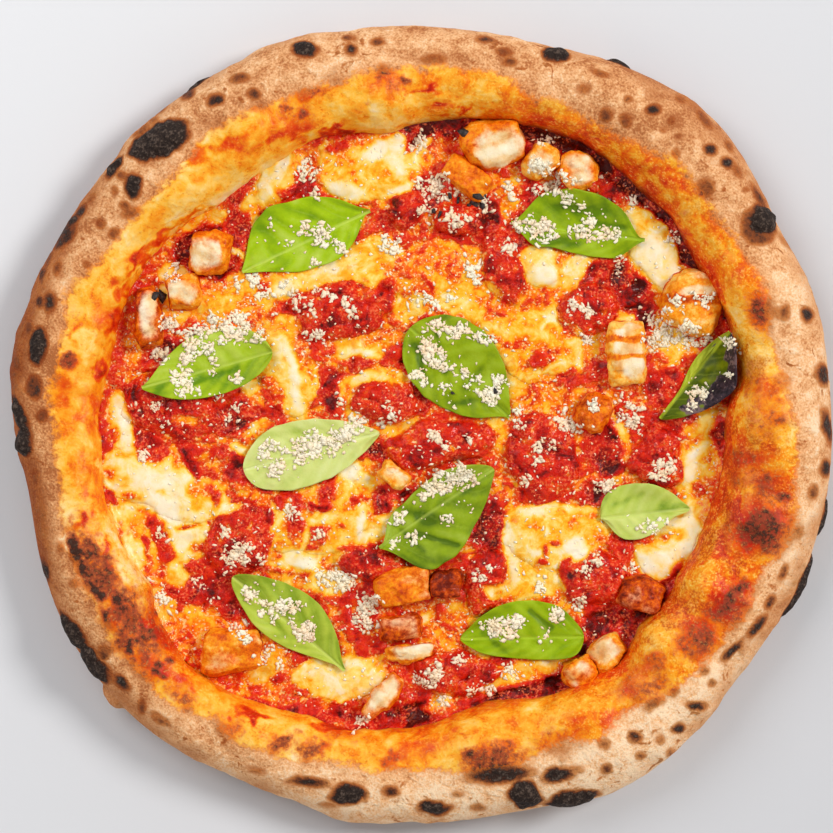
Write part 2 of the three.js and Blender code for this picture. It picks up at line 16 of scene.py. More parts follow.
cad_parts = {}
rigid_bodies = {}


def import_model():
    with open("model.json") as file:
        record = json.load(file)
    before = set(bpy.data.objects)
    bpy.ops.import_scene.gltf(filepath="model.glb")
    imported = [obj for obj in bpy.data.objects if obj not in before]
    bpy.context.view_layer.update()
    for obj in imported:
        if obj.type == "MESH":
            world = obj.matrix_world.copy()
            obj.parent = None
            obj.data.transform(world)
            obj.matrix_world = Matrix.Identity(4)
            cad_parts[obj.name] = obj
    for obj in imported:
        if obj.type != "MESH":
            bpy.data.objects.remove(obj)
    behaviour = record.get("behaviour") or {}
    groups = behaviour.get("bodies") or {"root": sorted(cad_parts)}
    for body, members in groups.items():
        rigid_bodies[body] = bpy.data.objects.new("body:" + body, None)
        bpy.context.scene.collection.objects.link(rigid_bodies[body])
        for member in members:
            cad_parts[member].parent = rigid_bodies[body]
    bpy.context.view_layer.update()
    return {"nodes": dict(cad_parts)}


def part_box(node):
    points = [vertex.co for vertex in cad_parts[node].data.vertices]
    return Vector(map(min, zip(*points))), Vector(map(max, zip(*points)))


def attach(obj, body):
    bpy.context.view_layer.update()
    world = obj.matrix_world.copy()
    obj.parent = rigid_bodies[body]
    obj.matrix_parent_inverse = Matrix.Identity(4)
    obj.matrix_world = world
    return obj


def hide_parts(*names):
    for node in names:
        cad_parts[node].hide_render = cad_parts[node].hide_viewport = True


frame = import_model()

MM = 0.001
PLAN_SHIFT = (-1.328, -0.352)  # added to a place of the plan, it gives the place in the frame

# ---------------------------------------------------------------- the camera

CAMERA_HEIGHT = 1.5
VIEW_PLANE = 0.012  # about as high as the toppings
VIEW_WIDTH = 0.3124  # how wide a strip of that plane the picture shows
VIEW_MIDDLE = (-0.56, 3.19)  # the place of the plan at the middle of the picture
SENSOR = 36.0

camera_data = bpy.data.cameras.new("camera")
camera = bpy.data.objects.new("camera", camera_data)
bpy.context.scene.collection.objects.link(camera)
bpy.context.scene.camera = camera
camera.location = (*[(a + b) * MM for a, b in zip(VIEW_MIDDLE, PLAN_SHIFT)], CAMERA_HEIGHT)
camera.rotation_euler = (0, 0, 0)
camera_data.sensor_width = SENSOR
camera_data.lens = SENSOR * (CAMERA_HEIGHT - VIEW_PLANE) / VIEW_WIDTH
camera_data.clip_start = 0.05
camera_data.clip_end = 20

# ---------------------------------------------------------------- noise

TABLE = 64  # random numbers along each side of a lattice
FAR_OFF = 1000.5  # added to a place, so that no cell's number is below 0
LUMPS_OFF = 500
LUMP_SCATTER = 0.42  # how far a lump lies from the middle of its cell, in cells
LUMP_REACH = 0.8
tables = {}


def lattice(seed):
    """Random numbers from -1 to 1 at the corners of a cube of cells."""
    if seed not in tables:
        tables[seed] = np.random.default_rng(seed).random((TABLE, TABLE, TABLE), np.float32) * 2 - 1
    return tables[seed]


def noise(x, y, z, size, seed):
    """Smooth noise from -1 to 1 whose lumps are about the given size."""
    table = lattice(seed)
    corners = []
    shares = []
    for value in (x, y, z):
        place = np.asarray(value, float) / size + FAR_OFF
        cell = np.floor(place)
        share = place - cell
        shares.append(share * share * (3 - 2 * share))
        corners.append(cell.astype(np.int64))
    total = 0
    for i in (0, 1):
        for j in (0, 1):
            for k in (0, 1):
                weight = 1
                for step, share in zip((i, j, k), shares):
                    weight = weight * (share if step else 1 - share)
                value = table[(corners[0] + i) % TABLE, (corners[1] + j) % TABLE, (corners[2] + k) % TABLE]
                total = total + weight * value
    return total


def rough(x, y, z, size, seed, octaves=3):
    """Noise with finer noise added, each octave half the size and half the strength."""
    total = 0
    for octave in range(octaves):
        total = total + noise(x, y, z, size / 2**octave, seed + octave) / 2**octave
    return total


def lumps(x, y, size, seed):
    """Rounded lumps of about the given size: their height, from 0 to 1, and each lump's own number."""
    table = lattice(seed)
    across, up = np.asarray(x) / size + LUMPS_OFF, np.asarray(y) / size + LUMPS_OFF
    column, row = np.floor(across).astype(np.int64), np.floor(up).astype(np.int64)
    nearest = np.full(across.shape, 9.0)
    own = np.zeros(across.shape)
    for i in (-1, 0, 1):
        for j in (-1, 0, 1):
            a, b = (column + i) % TABLE, (row + j) % TABLE
            aside = across - column - i - 0.5 - LUMP_SCATTER * table[a, b, 0]
            ahead = up - row - j - 0.5 - LUMP_SCATTER * table[a, b, 1]
            far = np.hypot(aside, ahead)
            own = np.where(far < nearest, table[a, b, 2], own)
            nearest = np.minimum(far, nearest)
    return np.clip(1 - (nearest / LUMP_REACH) ** 2, 0, 1), own


def smooth_step(low, high, value):
    """From 0 to 1 as the value goes from low to high, which may be the larger."""
    share = np.clip((value - low) / (high - low), 0, 1)
    return share * share * (3 - 2 * share)


def curve(a, b, c, d, share):
    """The value at a share of the way from b to c on a smooth curve through a, b, c and d."""
    return b + 0.5 * share * (c - a + share * (2 * a - 5 * b + 4 * c - d + share * (3 * (b - c) + d - a)))


def around(values, degrees):
    """The value at an angle of a closed smooth curve through evenly spaced values."""
    values = np.asarray(values, float)
    count = len(values)
    place = (np.asarray(degrees, float) / 360 % 1) * count
    first = np.floor(place).astype(int)
    return curve(*(values[(first + step) % count] for step in (-1, 0, 1, 2)), place - first)


def between(values, share):
    """The value at a share of the length of an open smooth curve through evenly spaced values."""
    values = np.asarray(values, float)
    last = len(values) - 1
    place = np.clip(np.asarray(share, float), 0, 1) * last
    first = np.minimum(np.floor(place).astype(int), last - 1)
    return curve(*(values[np.clip(first + step, 0, last)] for step in (-1, 0, 1, 2)), place - first)


def at_angles(table, degrees):
    """The value at an angle of a closed curve through unevenly spaced (angle, value) pairs."""
    angles = [a for a, _ in table]
    values = [v for _, v in table]
    return np.interp(np.asarray(degrees) % 360, angles, values, period=360)


# ---------------------------------------------------------------- meshes


def to_metres(points):
    points = np.array(points, float)
    points[:, 0] += PLAN_SHIFT[0]
    points[:, 1] += PLAN_SHIFT[1]
    return points * MM


def add_piece(name, mesh, material, nodes):
    """Puts a mesh into the scene, smooth, as the piece that stands for some CAD nodes."""
    mesh.polygons.foreach_set("use_smooth", np.ones(len(mesh.polygons), bool))
    mesh.update()
    mesh.materials.append(material)
    piece = bpy.data.objects.new(name, mesh)
    bpy.context.scene.collection.objects.link(piece)
    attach(piece, "root")
    if nodes:
        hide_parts(*nodes)


def make_piece(name, points, faces, material, attributes, nodes):
    """A piece of the pizza from points in millimetres of the plan, with attributes that differ over them."""
    mesh = bpy.data.meshes.new(name)
    mesh.from_pydata(to_metres(points).tolist(), [], faces if isinstance(faces, list) else faces.tolist())
    for key, values in attributes.items():
        attribute = mesh.attributes.new(key, "FLOAT", "POINT")
        attribute.data.foreach_set("value", np.asarray(values, np.float32).ravel())
    add_piece(name, mesh, material, nodes)


def grid_faces(rows, columns, wrap=False):
    """Quads over a grid of points, with the columns joined round when wrap is true."""
    last = columns if wrap else columns - 1
    i, j = np.meshgrid(np.arange(rows - 1), np.arange(last), indexing="ij")
    i, j = i.ravel(), j.ravel()
    k = (j + 1) % columns
    return np.stack([i * columns + j, i * columns + k, (i + 1) * columns + k, (i + 1) * columns + j], 1)


def node_tree(name):
    """A CAD node's surface as a tree for rays, in millimetres of the plan."""
    mesh = frame["nodes"][name].data
    points = np.array([v.co for v in mesh.vertices]) / MM - np.array([*PLAN_SHIFT, 0])
    return BVHTree.FromPolygons(points.tolist(), [list(p.vertices) for p in mesh.polygons])


ABOVE = 80.0  # every surface
BELOW = -10.0


def height_at(tree, x, y, otherwise=np.nan, up=False):
    """The height of a surface's top, or with up of its underside, at each point of the plan."""
    direction = Vector((0, 0, 1 if up else -1))
    start = BELOW if up else ABOVE
    heights = np.full(len(x), otherwise, float)
    for i, (a, b) in enumerate(zip(x.tolist(), y.tolist())):
        hit = tree.ray_cast(Vector((a, b, start)), direction)[0]
        if hit is not None:
            heights[i] = hit.z
    return heights


def blurred(field, steps):
    """A grid of values smoothed by repeated averaging with its neighbours."""
    for _ in range(steps):
        padded = np.pad(field, 1, mode="edge")
        field = (
            4 * padded[1:-1, 1:-1]
            + 2 * (padded[:-2, 1:-1] + padded[2:, 1:-1] + padded[1:-1, :-2] + padded[1:-1, 2:])
            + padded[:-2, :-2] + padded[:-2, 2:] + padded[2:, :-2] + padded[2:, 2:]
        ) / 16
    return field


# ---------------------------------------------------------------- materials


def linear(red, green, blue):
    """A colour in the shader's light from one as seen, 0 to 255."""
    seen = [value / 255 for value in (red, green, blue)]
    return [v / 12.92 if v <= 0.04045 else ((v + 0.055) / 1.055) ** 2.4 for v in seen] + [1.0]


NOISE_SPACING = 1.6  # of the noise node's lumps at a scale of 1


class Shade:
    """Builds one material's nodes. Every method gives a socket, and takes sockets or numbers."""

    def __init__(self, name):
        self.material = bpy.data.materials.new(name)
        self.material.use_nodes = True
        self.tree = self.material.node_tree
        self.shader = self.tree.nodes["Principled BSDF"]
        self.places = self.add("ShaderNodeTexCoord").outputs["Object"]

    def add(self, kind):
        return self.tree.nodes.new(kind)

    def plug(self, value, socket):
        if isinstance(value, bpy.types.NodeSocket):
            self.tree.links.new(value, socket)
        else:
            socket.default_value = value

    def attribute(self, name):
        node = self.add("ShaderNodeAttribute")
        node.attribute_name = name
        return node.outputs["Fac"]

    def noise(self, size_mm, detail=2.0, roughness=0.5, warp=0.0, shift=0.0):
        """Noise from 0 to 1 with lumps of about this size."""
        node = self.add("ShaderNodeTexNoise")
        place = self.places
        if shift:
            mover = self.add("ShaderNodeVectorMath")
            mover.operation = "ADD"
            self.plug(place, mover.inputs[0])
            mover.inputs[1].default_value = (shift, shift * 0.7, -shift * 1.3)
            place = mover.outputs[0]
        self.plug(place, node.inputs["Vector"])
        node.inputs["Scale"].default_value = 1 / (size_mm * MM * NOISE_SPACING)
        node.inputs["Detail"].default_value = detail
        node.inputs["Roughness"].default_value = roughness
        node.inputs["Distortion"].default_value = warp
        return node.outputs["Fac"]

    def maths(self, operation, a, b=0.0, c=0.0):
        node = self.add("ShaderNodeMath")
        node.operation = operation
        for value, socket in zip((a, b, c), node.inputs):
            self.plug(value, socket)
        return node.outputs[0]

    def times(self, a, b):
        return self.maths("MULTIPLY", a, b)

    def plus(self, a, b, times=1.0):
        """a + b × times."""
        return self.maths("MULTIPLY_ADD", b, times, a)

    def off(self, value, times=1.0):
        """How far a value lies from a half, × times."""
        return self.times(self.maths("SUBTRACT", value, 0.5), times)

    def step(self, value, low, high, from_value=0.0, to_value=1.0):
        """A smooth step from one value to another as value goes from low to high."""
        node = self.add("ShaderNodeMapRange")
        node.interpolation_type = "SMOOTHSTEP"
        self.plug(value, node.inputs["Value"])
        limits = {"From Min": low, "From Max": high, "To Min": from_value, "To Max": to_value}
        for key, number in limits.items():
            self.plug(number, node.inputs[key])
        return node.outputs["Result"]

    def ramp(self, value, stops):
        """A colour along (place, colour) stops."""
        node = self.add("ShaderNodeValToRGB")
        self.plug(value, node.inputs["Fac"])
        elements = node.color_ramp.elements
        while len(elements) < len(stops):
            elements.new(0.5)
        for element, (place, colour) in zip(elements, stops):
            element.position = place
            element.color = linear(*colour)
        return node.outputs["Color"]

    def mix(self, share, a, b):
        node = self.add("ShaderNodeMix")
        node.data_type = "RGBA"
        self.plug(share, node.inputs[0])
        for value, socket in ((a, node.inputs[6]), (b, node.inputs[7])):
            self.plug(linear(*value) if isinstance(value, tuple) else value, socket)
        return node.outputs[2]

    def darken(self, colour, share, times):
        """The colour with its lightness taken towards times itself by share."""
        node = self.add("ShaderNodeMix")
        node.data_type = "RGBA"
        node.blend_type = "MULTIPLY"
        self.plug(share, node.inputs[0])
        self.plug(colour, node.inputs[6])
        node.inputs[7].default_value = (*times, 1)
        return node.outputs[2]

    def bump(self, height, depth_mm, below=None):
        node = self.add("ShaderNodeBump")
        node.inputs["Strength"].default_value = 1.0
        node.inputs["Distance"].default_value = depth_mm * MM
        self.plug(height, node.inputs["Height"])
        if below is not None:
            self.plug(below, node.inputs["Normal"])
        return node.outputs["Normal"]

    def finish(
        self, colour, roughness, normal, specular=0.5, coat=0.0, coat_roughness=0.1, glow=0.0, glow_mm=1.5
    ):
        """The finished material. Light that sinks in glows out again, red the furthest."""
        sockets = self.shader.inputs
        self.plug(colour, sockets["Base Color"])
        self.plug(roughness, sockets["Roughness"])
        self.plug(normal, sockets["Normal"])
        sockets["Specular IOR Level"].default_value = specular
        sockets["Coat Weight"].default_value = coat
        sockets["Coat Roughness"].default_value = coat_roughness
        if glow:
            sockets["Subsurface Weight"].default_value = glow
            sockets["Subsurface Radius"].default_value = (1.0, 0.55, 0.3)
            sockets["Subsurface Scale"].default_value = glow_mm * MM
        return self.material


# From dark tomato through oily orange to cream, as more cheese lies over the tomato.
MELT_STOPS = [
    (0.00, (80, 4, 0)),
    (0.05, (112, 5, 0)),
    (0.11, (160, 10, 0)),
    (0.22, (210, 22, 0)),
    (0.33, (230, 48, 2)),
    (0.43, (244, 98, 2)),
    (0.53, (252, 142, 6)),
    (0.65, (255, 184, 34)),
    (0.80, (255, 216, 110)),
    (1.00, (252, 239, 208)),
]
FLESH_HOLLOW_SHADE = (0.50, 0.20, 0.10)  # painted shade: what the shade in a hollow of the flesh leaves of each colour
PALE_FLECK_AND_HIGHLIGHT = (250, 118, 70)
BROWNED_CHEESE = (244, 140, 10)
CRUMB_IN_OIL = (255, 214, 140)


def melt_material(name, grain, shine):
    """Tomato and cheese melted into each other. Grain is how deep the tomato's flesh is cut."""
    s = Shade(name)
    cheese = s.attribute("cheese")
    pulp = s.attribute("pulp")
    coarseness = s.attribute("coarseness")
    medium = s.noise(3.8, 3, 0.6, 0.8)
    fine = s.noise(1.1, 3, 0.65, 0.2, 3.1)
    tiny = s.noise(0.6, 1, shift=5.7)
    web = s.noise(2.8, 2, 0.5, 1.2, 8.3)
    specks = s.plus(tiny, fine, 0.5)
    # What is mixed is more mottled than clean cheese or tomato.
    blend = s.times(s.step(cheese, 0.28, 0.46, 0.85, 1.15), s.step(cheese, 0.70, 0.98, 1.0, 0.35))
    mottle = s.plus(s.off(medium, 0.86), s.off(fine), 0.28)
    level = s.plus(cheese, mottle, blend)
    colour = s.ramp(level, MELT_STOPS)
    # Painted shade: hollows between the lumps of flesh are painted dark. Grainy flesh is flecked with pale
    # specks, partly cheese and partly painted highlights.
    red = s.step(level, 0.32, 0.44, 1.0, 0.0)
    painted_hollow_shade = s.step(pulp, 0.10, 0.62, 1.0, 0.0)
    colour = s.darken(colour, s.times(painted_hollow_shade, red), FLESH_HOLLOW_SHADE)
    pale_flecks_and_highlights = s.times(s.step(specks, 0.77, 0.88, 0.0, 0.62), coarseness)
    colour = s.mix(s.times(red, pale_flecks_and_highlights), colour, PALE_FLECK_AND_HIGHLIGHT)
    # Cheese has browned in a web, and crumbs of it lie in the oil.
    cream = s.times(s.step(level, 0.46, 0.60), s.step(level, 0.78, 0.94, 1.0, 0.0))
    colour = s.mix(s.times(cream, s.step(web, 0.60, 0.74, 0.0, 0.50)), colour, BROWNED_CHEESE)
    oily = s.times(s.step(level, 0.34, 0.42), s.step(level, 0.54, 0.62, 1.0, 0.0))
    colour = s.mix(s.times(oily, s.step(specks, 0.80, 0.90, 0.0, 0.7)), colour, CRUMB_IN_OIL)
    normal = s.bump(s.times(fine, red), grain)
    normal = s.bump(medium, 0.4, normal)
    normal = s.bump(tiny, 0.07, normal)
    roughness = s.step(level, 0.2, 0.9, 0.34, 0.40)
    return s.finish(
        colour, roughness, normal, specular=0.16, coat=shine, coat_roughness=0.08, glow=0.10, glow_mm=1.0
    )


# The same over the rim's bread, which takes up the oil.
RIM_STOPS = [
    (0.10, (150, 12, 0)),
    (0.24, (206, 34, 0)),
    (0.34, (228, 74, 2)),
    (0.44, (238, 112, 4)),
    (0.54, (247, 148, 14)),
    (0.66, (252, 182, 52)),
    (0.80, (252, 206, 108)),
    (1.00, (250, 230, 184)),
]
# Dry dough from a crease's tan to the flour on its crests.
DOUGH_STOPS = [
    (0.22, (176, 104, 56)),
    (0.38, (214, 148, 94)),
    (0.54, (240, 186, 134)),
    (0.74, (252, 220, 182)),
]
# Char from black to paler specks, which are painted grey highlights.
SOOT_WITH_HIGHLIGHT_STOPS = [(0.60, (30, 17, 12)), (0.84, (48, 35, 28)), (1.00, (88, 72, 62))]
YELLOW_GRIT_AND_HIGHLIGHT = (255, 206, 112)
ORANGE_OIL = (214, 92, 4)
TOMATO_GRAINS = (214, 84, 8)
BROWNED_GRAINS = (160, 44, 14)
OILED_DOUGH = (0.97, 0.74, 0.46)  # what oil, or browning, leaves of each colour
TANNED_DOUGH = (0.60, 0.35, 0.17)
TOASTED_DOUGH = (118, 58, 26)
BURNT_DOUGH = (56, 30, 20)
TANNED_SKIN = (0.80, 0.36, 0.18)
TOASTED_SKIN = (146, 60, 34)
BURNT_SKIN = (70, 32, 18)
GRIT_AND_HIGHLIGHT_ON_TOAST = (246, 164, 88)
OIL_FRINGE = (226, 118, 28)
WARM_SOOT = (74, 38, 22)
DEEP_SHADE = (0.30, 0.10, 0.04)


def crust_material():
    s = Shade("baked_dough")
    stain = s.attribute("stain")
    brown = s.attribute("brown")
    cheese = s.attribute("cheese")
    cave = s.attribute("cave")
    flour = s.attribute("flour")
    crumbly = s.attribute("crumbly")
    coarse = s.noise(13, 3, 0.55, 0.5)
    medium = s.noise(4.2, 3, 0.6, 0.5, 2.3)
    blotch = s.noise(4.6, 2, 0.5, 1.3, 7.7)
    fine = s.noise(1.1, 2, 0.6, 0.0, 4.1)
    tiny = s.noise(0.5, 1, shift=6.3)
    grit = s.plus(tiny, fine, 0.8)

    def mottled(value, *parts):
        """The value with each noise added, as strong as its number says."""
        for noise_field, strength in parts:
            value = s.plus(value, s.off(noise_field, strength))
        return value

    # Floured dough, mottled and grainy, with painted light and shade by angle.
    dough = s.ramp(mottled(flour, (coarse, 0.55), (medium, 0.70), (fine, 0.34), (tiny, 0.52)), DOUGH_STOPS)
    # The part inside the crest, wet with oil, cheese and tomato, ends in a ragged line.
    level = mottled(cheese, (coarse, 0.66), (medium, 0.74))
    level = s.plus(level, s.times(s.plus(s.off(fine, 0.46), s.off(tiny, 0.22)), crumbly))
    wet = s.ramp(level, RIM_STOPS)
    # Yellow specks on the wet part: partly grit, partly painted highlights on its bubbly skin.
    wet = s.mix(s.times(s.step(grit, 0.98, 1.16, 0.0, 0.50), crumbly), wet, YELLOW_GRIT_AND_HIGHLIGHT)
    wet = s.mix(s.step(s.plus(tiny, medium, 0.9), 0.68, 0.82, 0.4, 0.0), wet, ORANGE_OIL)
    # Grains of browned tomato lie on it in clusters.
    clusters = s.times(s.step(s.noise(7, 2, 0.5, 0.8, 9.1), 0.46, 0.62), s.step(crumbly, 0.5, 1.2))
    wet = s.mix(s.times(clusters, 0.46), wet, TOMATO_GRAINS)
    wet = s.mix(s.times(clusters, s.step(grit, 0.76, 0.98, 0.6, 0.0)), wet, BROWNED_GRAINS)
    edge = mottled(stain, (medium, 9.0), (coarse, 9.0), (fine, 6.0))
    wetness = s.step(edge, -1.2, 1.4)
    # Browning goes from tan freckles and halos to char.
    uneven = s.plus(s.plus(s.off(medium, 0.50), s.off(fine, 0.45)), s.off(tiny, 0.20))
    uneven = s.plus(uneven, s.times(s.off(fine, 0.40), s.step(wetness, 0.0, 1.0)))
    burn = s.plus(brown, s.times(uneven, s.step(brown, 0.02, 0.30)))
    freckles = s.step(s.plus(blotch, fine, 0.25), 0.72, 0.90, 0.0, 0.50)
    burn = s.maths("MAXIMUM", burn, s.times(freckles, s.step(wetness, 0.0, 1.0, 1.0, 0.5)))
    # Oil has crept a little way into the dough beside it.
    dry = s.darken(dough, s.step(edge, -6.0, -0.5, 0.0, 0.25), OILED_DOUGH)
    dry = s.darken(dry, s.step(burn, 0.04, 0.40), TANNED_DOUGH)
    dry = s.mix(s.step(burn, 0.38, 0.66, 0.0, 0.9), dry, TOASTED_DOUGH)
    dry = s.mix(s.step(burn, 0.60, 0.82), dry, BURNT_DOUGH)
    wet = s.darken(wet, s.step(burn, 0.08, 0.42), TANNED_SKIN)
    wet = s.mix(s.step(burn, 0.34, 0.62, 0.0, 0.9), wet, TOASTED_SKIN)
    wet = s.mix(s.step(burn, 0.58, 0.80), wet, BURNT_SKIN)
    # Pale specks on toasted skin: partly grit, partly painted highlights.
    wet = s.mix(s.times(s.step(burn, 0.15, 0.40), s.step(grit, 1.0, 1.2, 0.0, 0.32)), wet, GRIT_AND_HIGHLIGHT_ON_TOAST)
    colour = s.mix(wetness, dry, wet)
    colour = s.mix(s.times(s.step(edge, -1.5, -0.1), s.step(edge, 0.2, 1.8, 0.42, 0.0)), colour, OIL_FRINGE)
    # Char, with paler specks painted as its highlights.
    soot = s.ramp(s.plus(fine, tiny, 0.6), SOOT_WITH_HIGHLIGHT_STOPS)
    soot = s.mix(s.step(wetness, 0.0, 1.0, 0.0, 0.6), soot, WARM_SOOT)
    colour = s.mix(s.step(burn, 0.72, 0.90), colour, soot)
    # Painted shade at the foot of the wall.
    colour = s.darken(colour, cave, DEEP_SHADE)
    matt = s.times(s.step(burn, 0.30, 0.70), s.step(wetness, 0.0, 1.0, -0.08, 0.34))
    roughness = s.plus(s.step(wetness, 0.0, 1.0, 0.82, 0.42), matt)
    # Wet skin is smoother than dry dough, but crumbly where it has browned.
    skin = s.times(s.step(wetness, 0.0, 1.0, 1.0, 0.5), s.step(burn, 0.15, 0.55, 1.0, 1.5))
    grain = s.plus(s.plus(medium, fine, 0.55), -0.78)
    normal = s.bump(s.times(grain, skin), 1.1)
    normal = s.bump(s.times(s.off(tiny), skin), 0.18, normal)
    return s.finish(colour, roughness, normal, specular=0.22, glow=0.05, glow_mm=1.2)


BREADING_STOPS = [
    (0.05, (110, 24, 2)),
    (0.28, (188, 62, 2)),
    (0.50, (232, 108, 2)),
    (0.74, (250, 156, 22)),
    (1.00, (255, 206, 100)),
]
MEAT_STOPS = [
    (0.14, (226, 158, 84)),
    (0.34, (240, 198, 136)),
    (0.54, (246, 224, 182)),
    (0.85, (252, 240, 214)),
]
FOOT_SAUCE_STOPS = [(0.55, (150, 10, 0)), (0.70, (214, 40, 2)), (0.86, (246, 120, 10))]


def chicken_material():
    s = Shade("breaded_chicken")
    meat = s.attribute("meat")
    tone = s.attribute("tone")
    fibre = s.attribute("fibre")
    sauced = s.attribute("sauced")
    medium = s.noise(3.2, 3, 0.6, 0.3)
    fine = s.noise(1.0, 3, 0.7, shift=2.2)
    tiny = s.noise(0.5, 1, shift=4.4)

    def mottled(value, broad, narrow):
        return s.plus(s.plus(value, s.off(medium), broad), s.off(fine), narrow)

    breading = s.ramp(mottled(tone, 1.1, 0.9), BREADING_STOPS)
    inside = s.ramp(mottled(fibre, 0.7, 0.3), MEAT_STOPS)
    colour = s.mix(s.step(mottled(meat, 0.8, 0.4), 0.14, 0.86), breading, inside)
    # Sauce clings to its foot.
    wetted = s.step(s.plus(sauced, s.off(medium), 0.8), 0.35, 0.70, 0.0, 0.85)
    colour = s.mix(wetted, colour, s.ramp(s.plus(medium, fine, 0.4), FOOT_SAUCE_STOPS))
    normal = s.bump(fine, 0.32)
    normal = s.bump(tiny, 0.08, normal)
    return s.finish(
        colour, 0.48, normal, specular=0.14, coat=0.03, coat_roughness=0.1, glow=0.08, glow_mm=1.2
    )


PARMESAN_STOPS = [(0.3, (255, 238, 200)), (0.6, (255, 248, 224))]
OILED_PARMESAN = (250, 176, 120)
FLAKE_STOPS = [(0.4, (22, 16, 16)), (0.7, (70, 58, 56))]


def parmesan_material():
    s = Shade("grated_parmesan")
    colour = s.ramp(s.noise(2.4, 2, shift=1.0), PARMESAN_STOPS)
    colour = s.mix(s.attribute("oiled"), colour, OILED_PARMESAN)
    return s.finish(colour, 0.8, s.bump(s.noise(0.4, 1), 0.05), specular=0.1)


def flake_material():
    s = Shade("burnt_flake")
    colour = s.ramp(s.noise(0.7, 2), FLAKE_STOPS)
    return s.finish(colour, 0.6, s.bump(s.noise(0.5, 1), 0.1))


# A burnt leaf, from black to purple-grey specks that are painted highlights.
BURNT_LEAF_STOPS = [(0.75, (30, 24, 32)), (0.95, (66, 52, 60)), (1.1, (118, 96, 96))]


def leaf_material(number, dark, fresh, pale):
    """One basil leaf's skin, from a dark green for its painted shade to the light green of its veins and its
    painted light.
    """
    s = Shade(f"basil_skin_{number}")
    vein = s.attribute("vein")
    light = s.attribute("light")
    burn = s.attribute("burn")
    medium = s.noise(7.0, 2, 0.5, 0.6, number * 1.7)
    fine = s.noise(0.9, 3, 0.6, shift=number * 0.9)
    shade = s.plus(s.plus(light, s.off(medium), 0.7), s.off(fine), 0.20)
    colour = s.ramp(shade, [(0.1, dark), (0.45, fresh), (0.9, pale)])
    colour = s.mix(s.times(vein, 0.52), colour, pale)
    burnt = s.step(s.plus(burn, s.off(fine), 0.5), 0.4, 0.6)
    # Burnt parts, with paler specks painted as their highlights.
    colour = s.mix(burnt, colour, s.ramp(s.plus(medium, fine, 0.8), BURNT_LEAF_STOPS))
    normal = s.bump(fine, 0.12)
    return s.finish(
        colour, 0.45, normal, specular=0.14, coat=0.02, coat_roughness=0.25, glow=0.10, glow_mm=0.5
    )


# Painted light: the table runs from a shaded colour to a lit one.
FLOOR_SHADED_END = (207, 208, 212)
FLOOR_LIT_END = (228, 229, 232)
FLOOR_SLANT = -1.1  # how much x counts beside y for the painted light on the table
FLOOR_SLOPE = 1.5  # of the way from low to high, for each metre


def floor_material():
    """Pale paper, with painted light: a little lighter towards the upper left."""
    s = Shade("table_top")
    split = s.add("ShaderNodeSeparateXYZ")
    s.plug(s.places, split.inputs[0])
    slope = s.plus(split.outputs["Y"], split.outputs["X"], FLOOR_SLANT)
    slope = s.plus(slope, s.off(s.noise(120, 3, 0.5)), 0.06)
    colour = s.ramp(s.maths("MULTIPLY_ADD", slope, FLOOR_SLOPE, 0.5), [(0.0, FLOOR_SHADED_END), (1.0, FLOOR_LIT_END)])
    return s.finish(colour, 0.7, s.bump(s.noise(3, 3), 0.05), specular=0.3)


# ---------------------------------------------------------------- the crust's form

# From the middle to the rim's outer edge, and to the foot of its inner side, every 10 degrees.
RIM_REACH = [
    155.2, 155.8, 155.2, 154.8, 158.2, 158.6, 155.4, 150.6, 149.4, 149.8, 150.6, 152.6,
    151.6, 152.4, 151.4, 152.0, 152.8, 154.6, 151.2, 148.4, 150.4, 152.6, 153.2, 152.6,
    149.6, 148.6, 150.6, 148.6, 149.0, 151.4, 156.0, 155.6, 153.2, 153.6, 155.2, 155.4,
]
WELL_REACH = [
    115.5, 120.5, 121.5, 120.5, 121.5, 122.0, 121.5, 119.5, 117.0, 113.5, 112.0, 113.5,
    112.0, 111.0, 114.5, 118.0, 118.5, 117.5, 119.0, 119.5, 119.0, 119.0, 122.0, 123.0,
    120.5, 116.5, 116.0, 112.5, 108.5, 109.0, 114.0, 116.5, 113.5, 113.5, 113.5, 114.5,
]
CREST_HEIGHT = [27, 26, 25, 24, 26, 23, 24, 25, 23, 25, 27, 26]  # every 30 degrees
DOUGH_FLOOR = 4.5
BELLY_SHARE = 0.4  # of the crest's height, where the rim reaches furthest out
OUTER_ROUND = 0.85  # below 1 the section is squarer than an ellipse
INNER_ROUND = 0.8
# Where the dough has swollen: middle, radius and rise.
SWELLINGS = [
    (-14, 121, 15, 4.0), (22, 126, 18, 1.5), (-62, 108, 17, 2.5), (-92, 84, 16, 1.5), (-128, 28, 16, 1.5),
    (-122, -12, 18, 1.5), (-112, -66, 17, 3.0), (-62, -116, 14, 2.0), (22, -118, 15, 3.0),
    (62, -106, 13, 2.5), (90, -80, 12, 3.5), (108, -60, 12, 3.0), (128, -37, 13, 3.0), (129, 2, 17, 4.0),
    (122, 52, 13, 2.0), (96, 96, 20, 1.5),
]
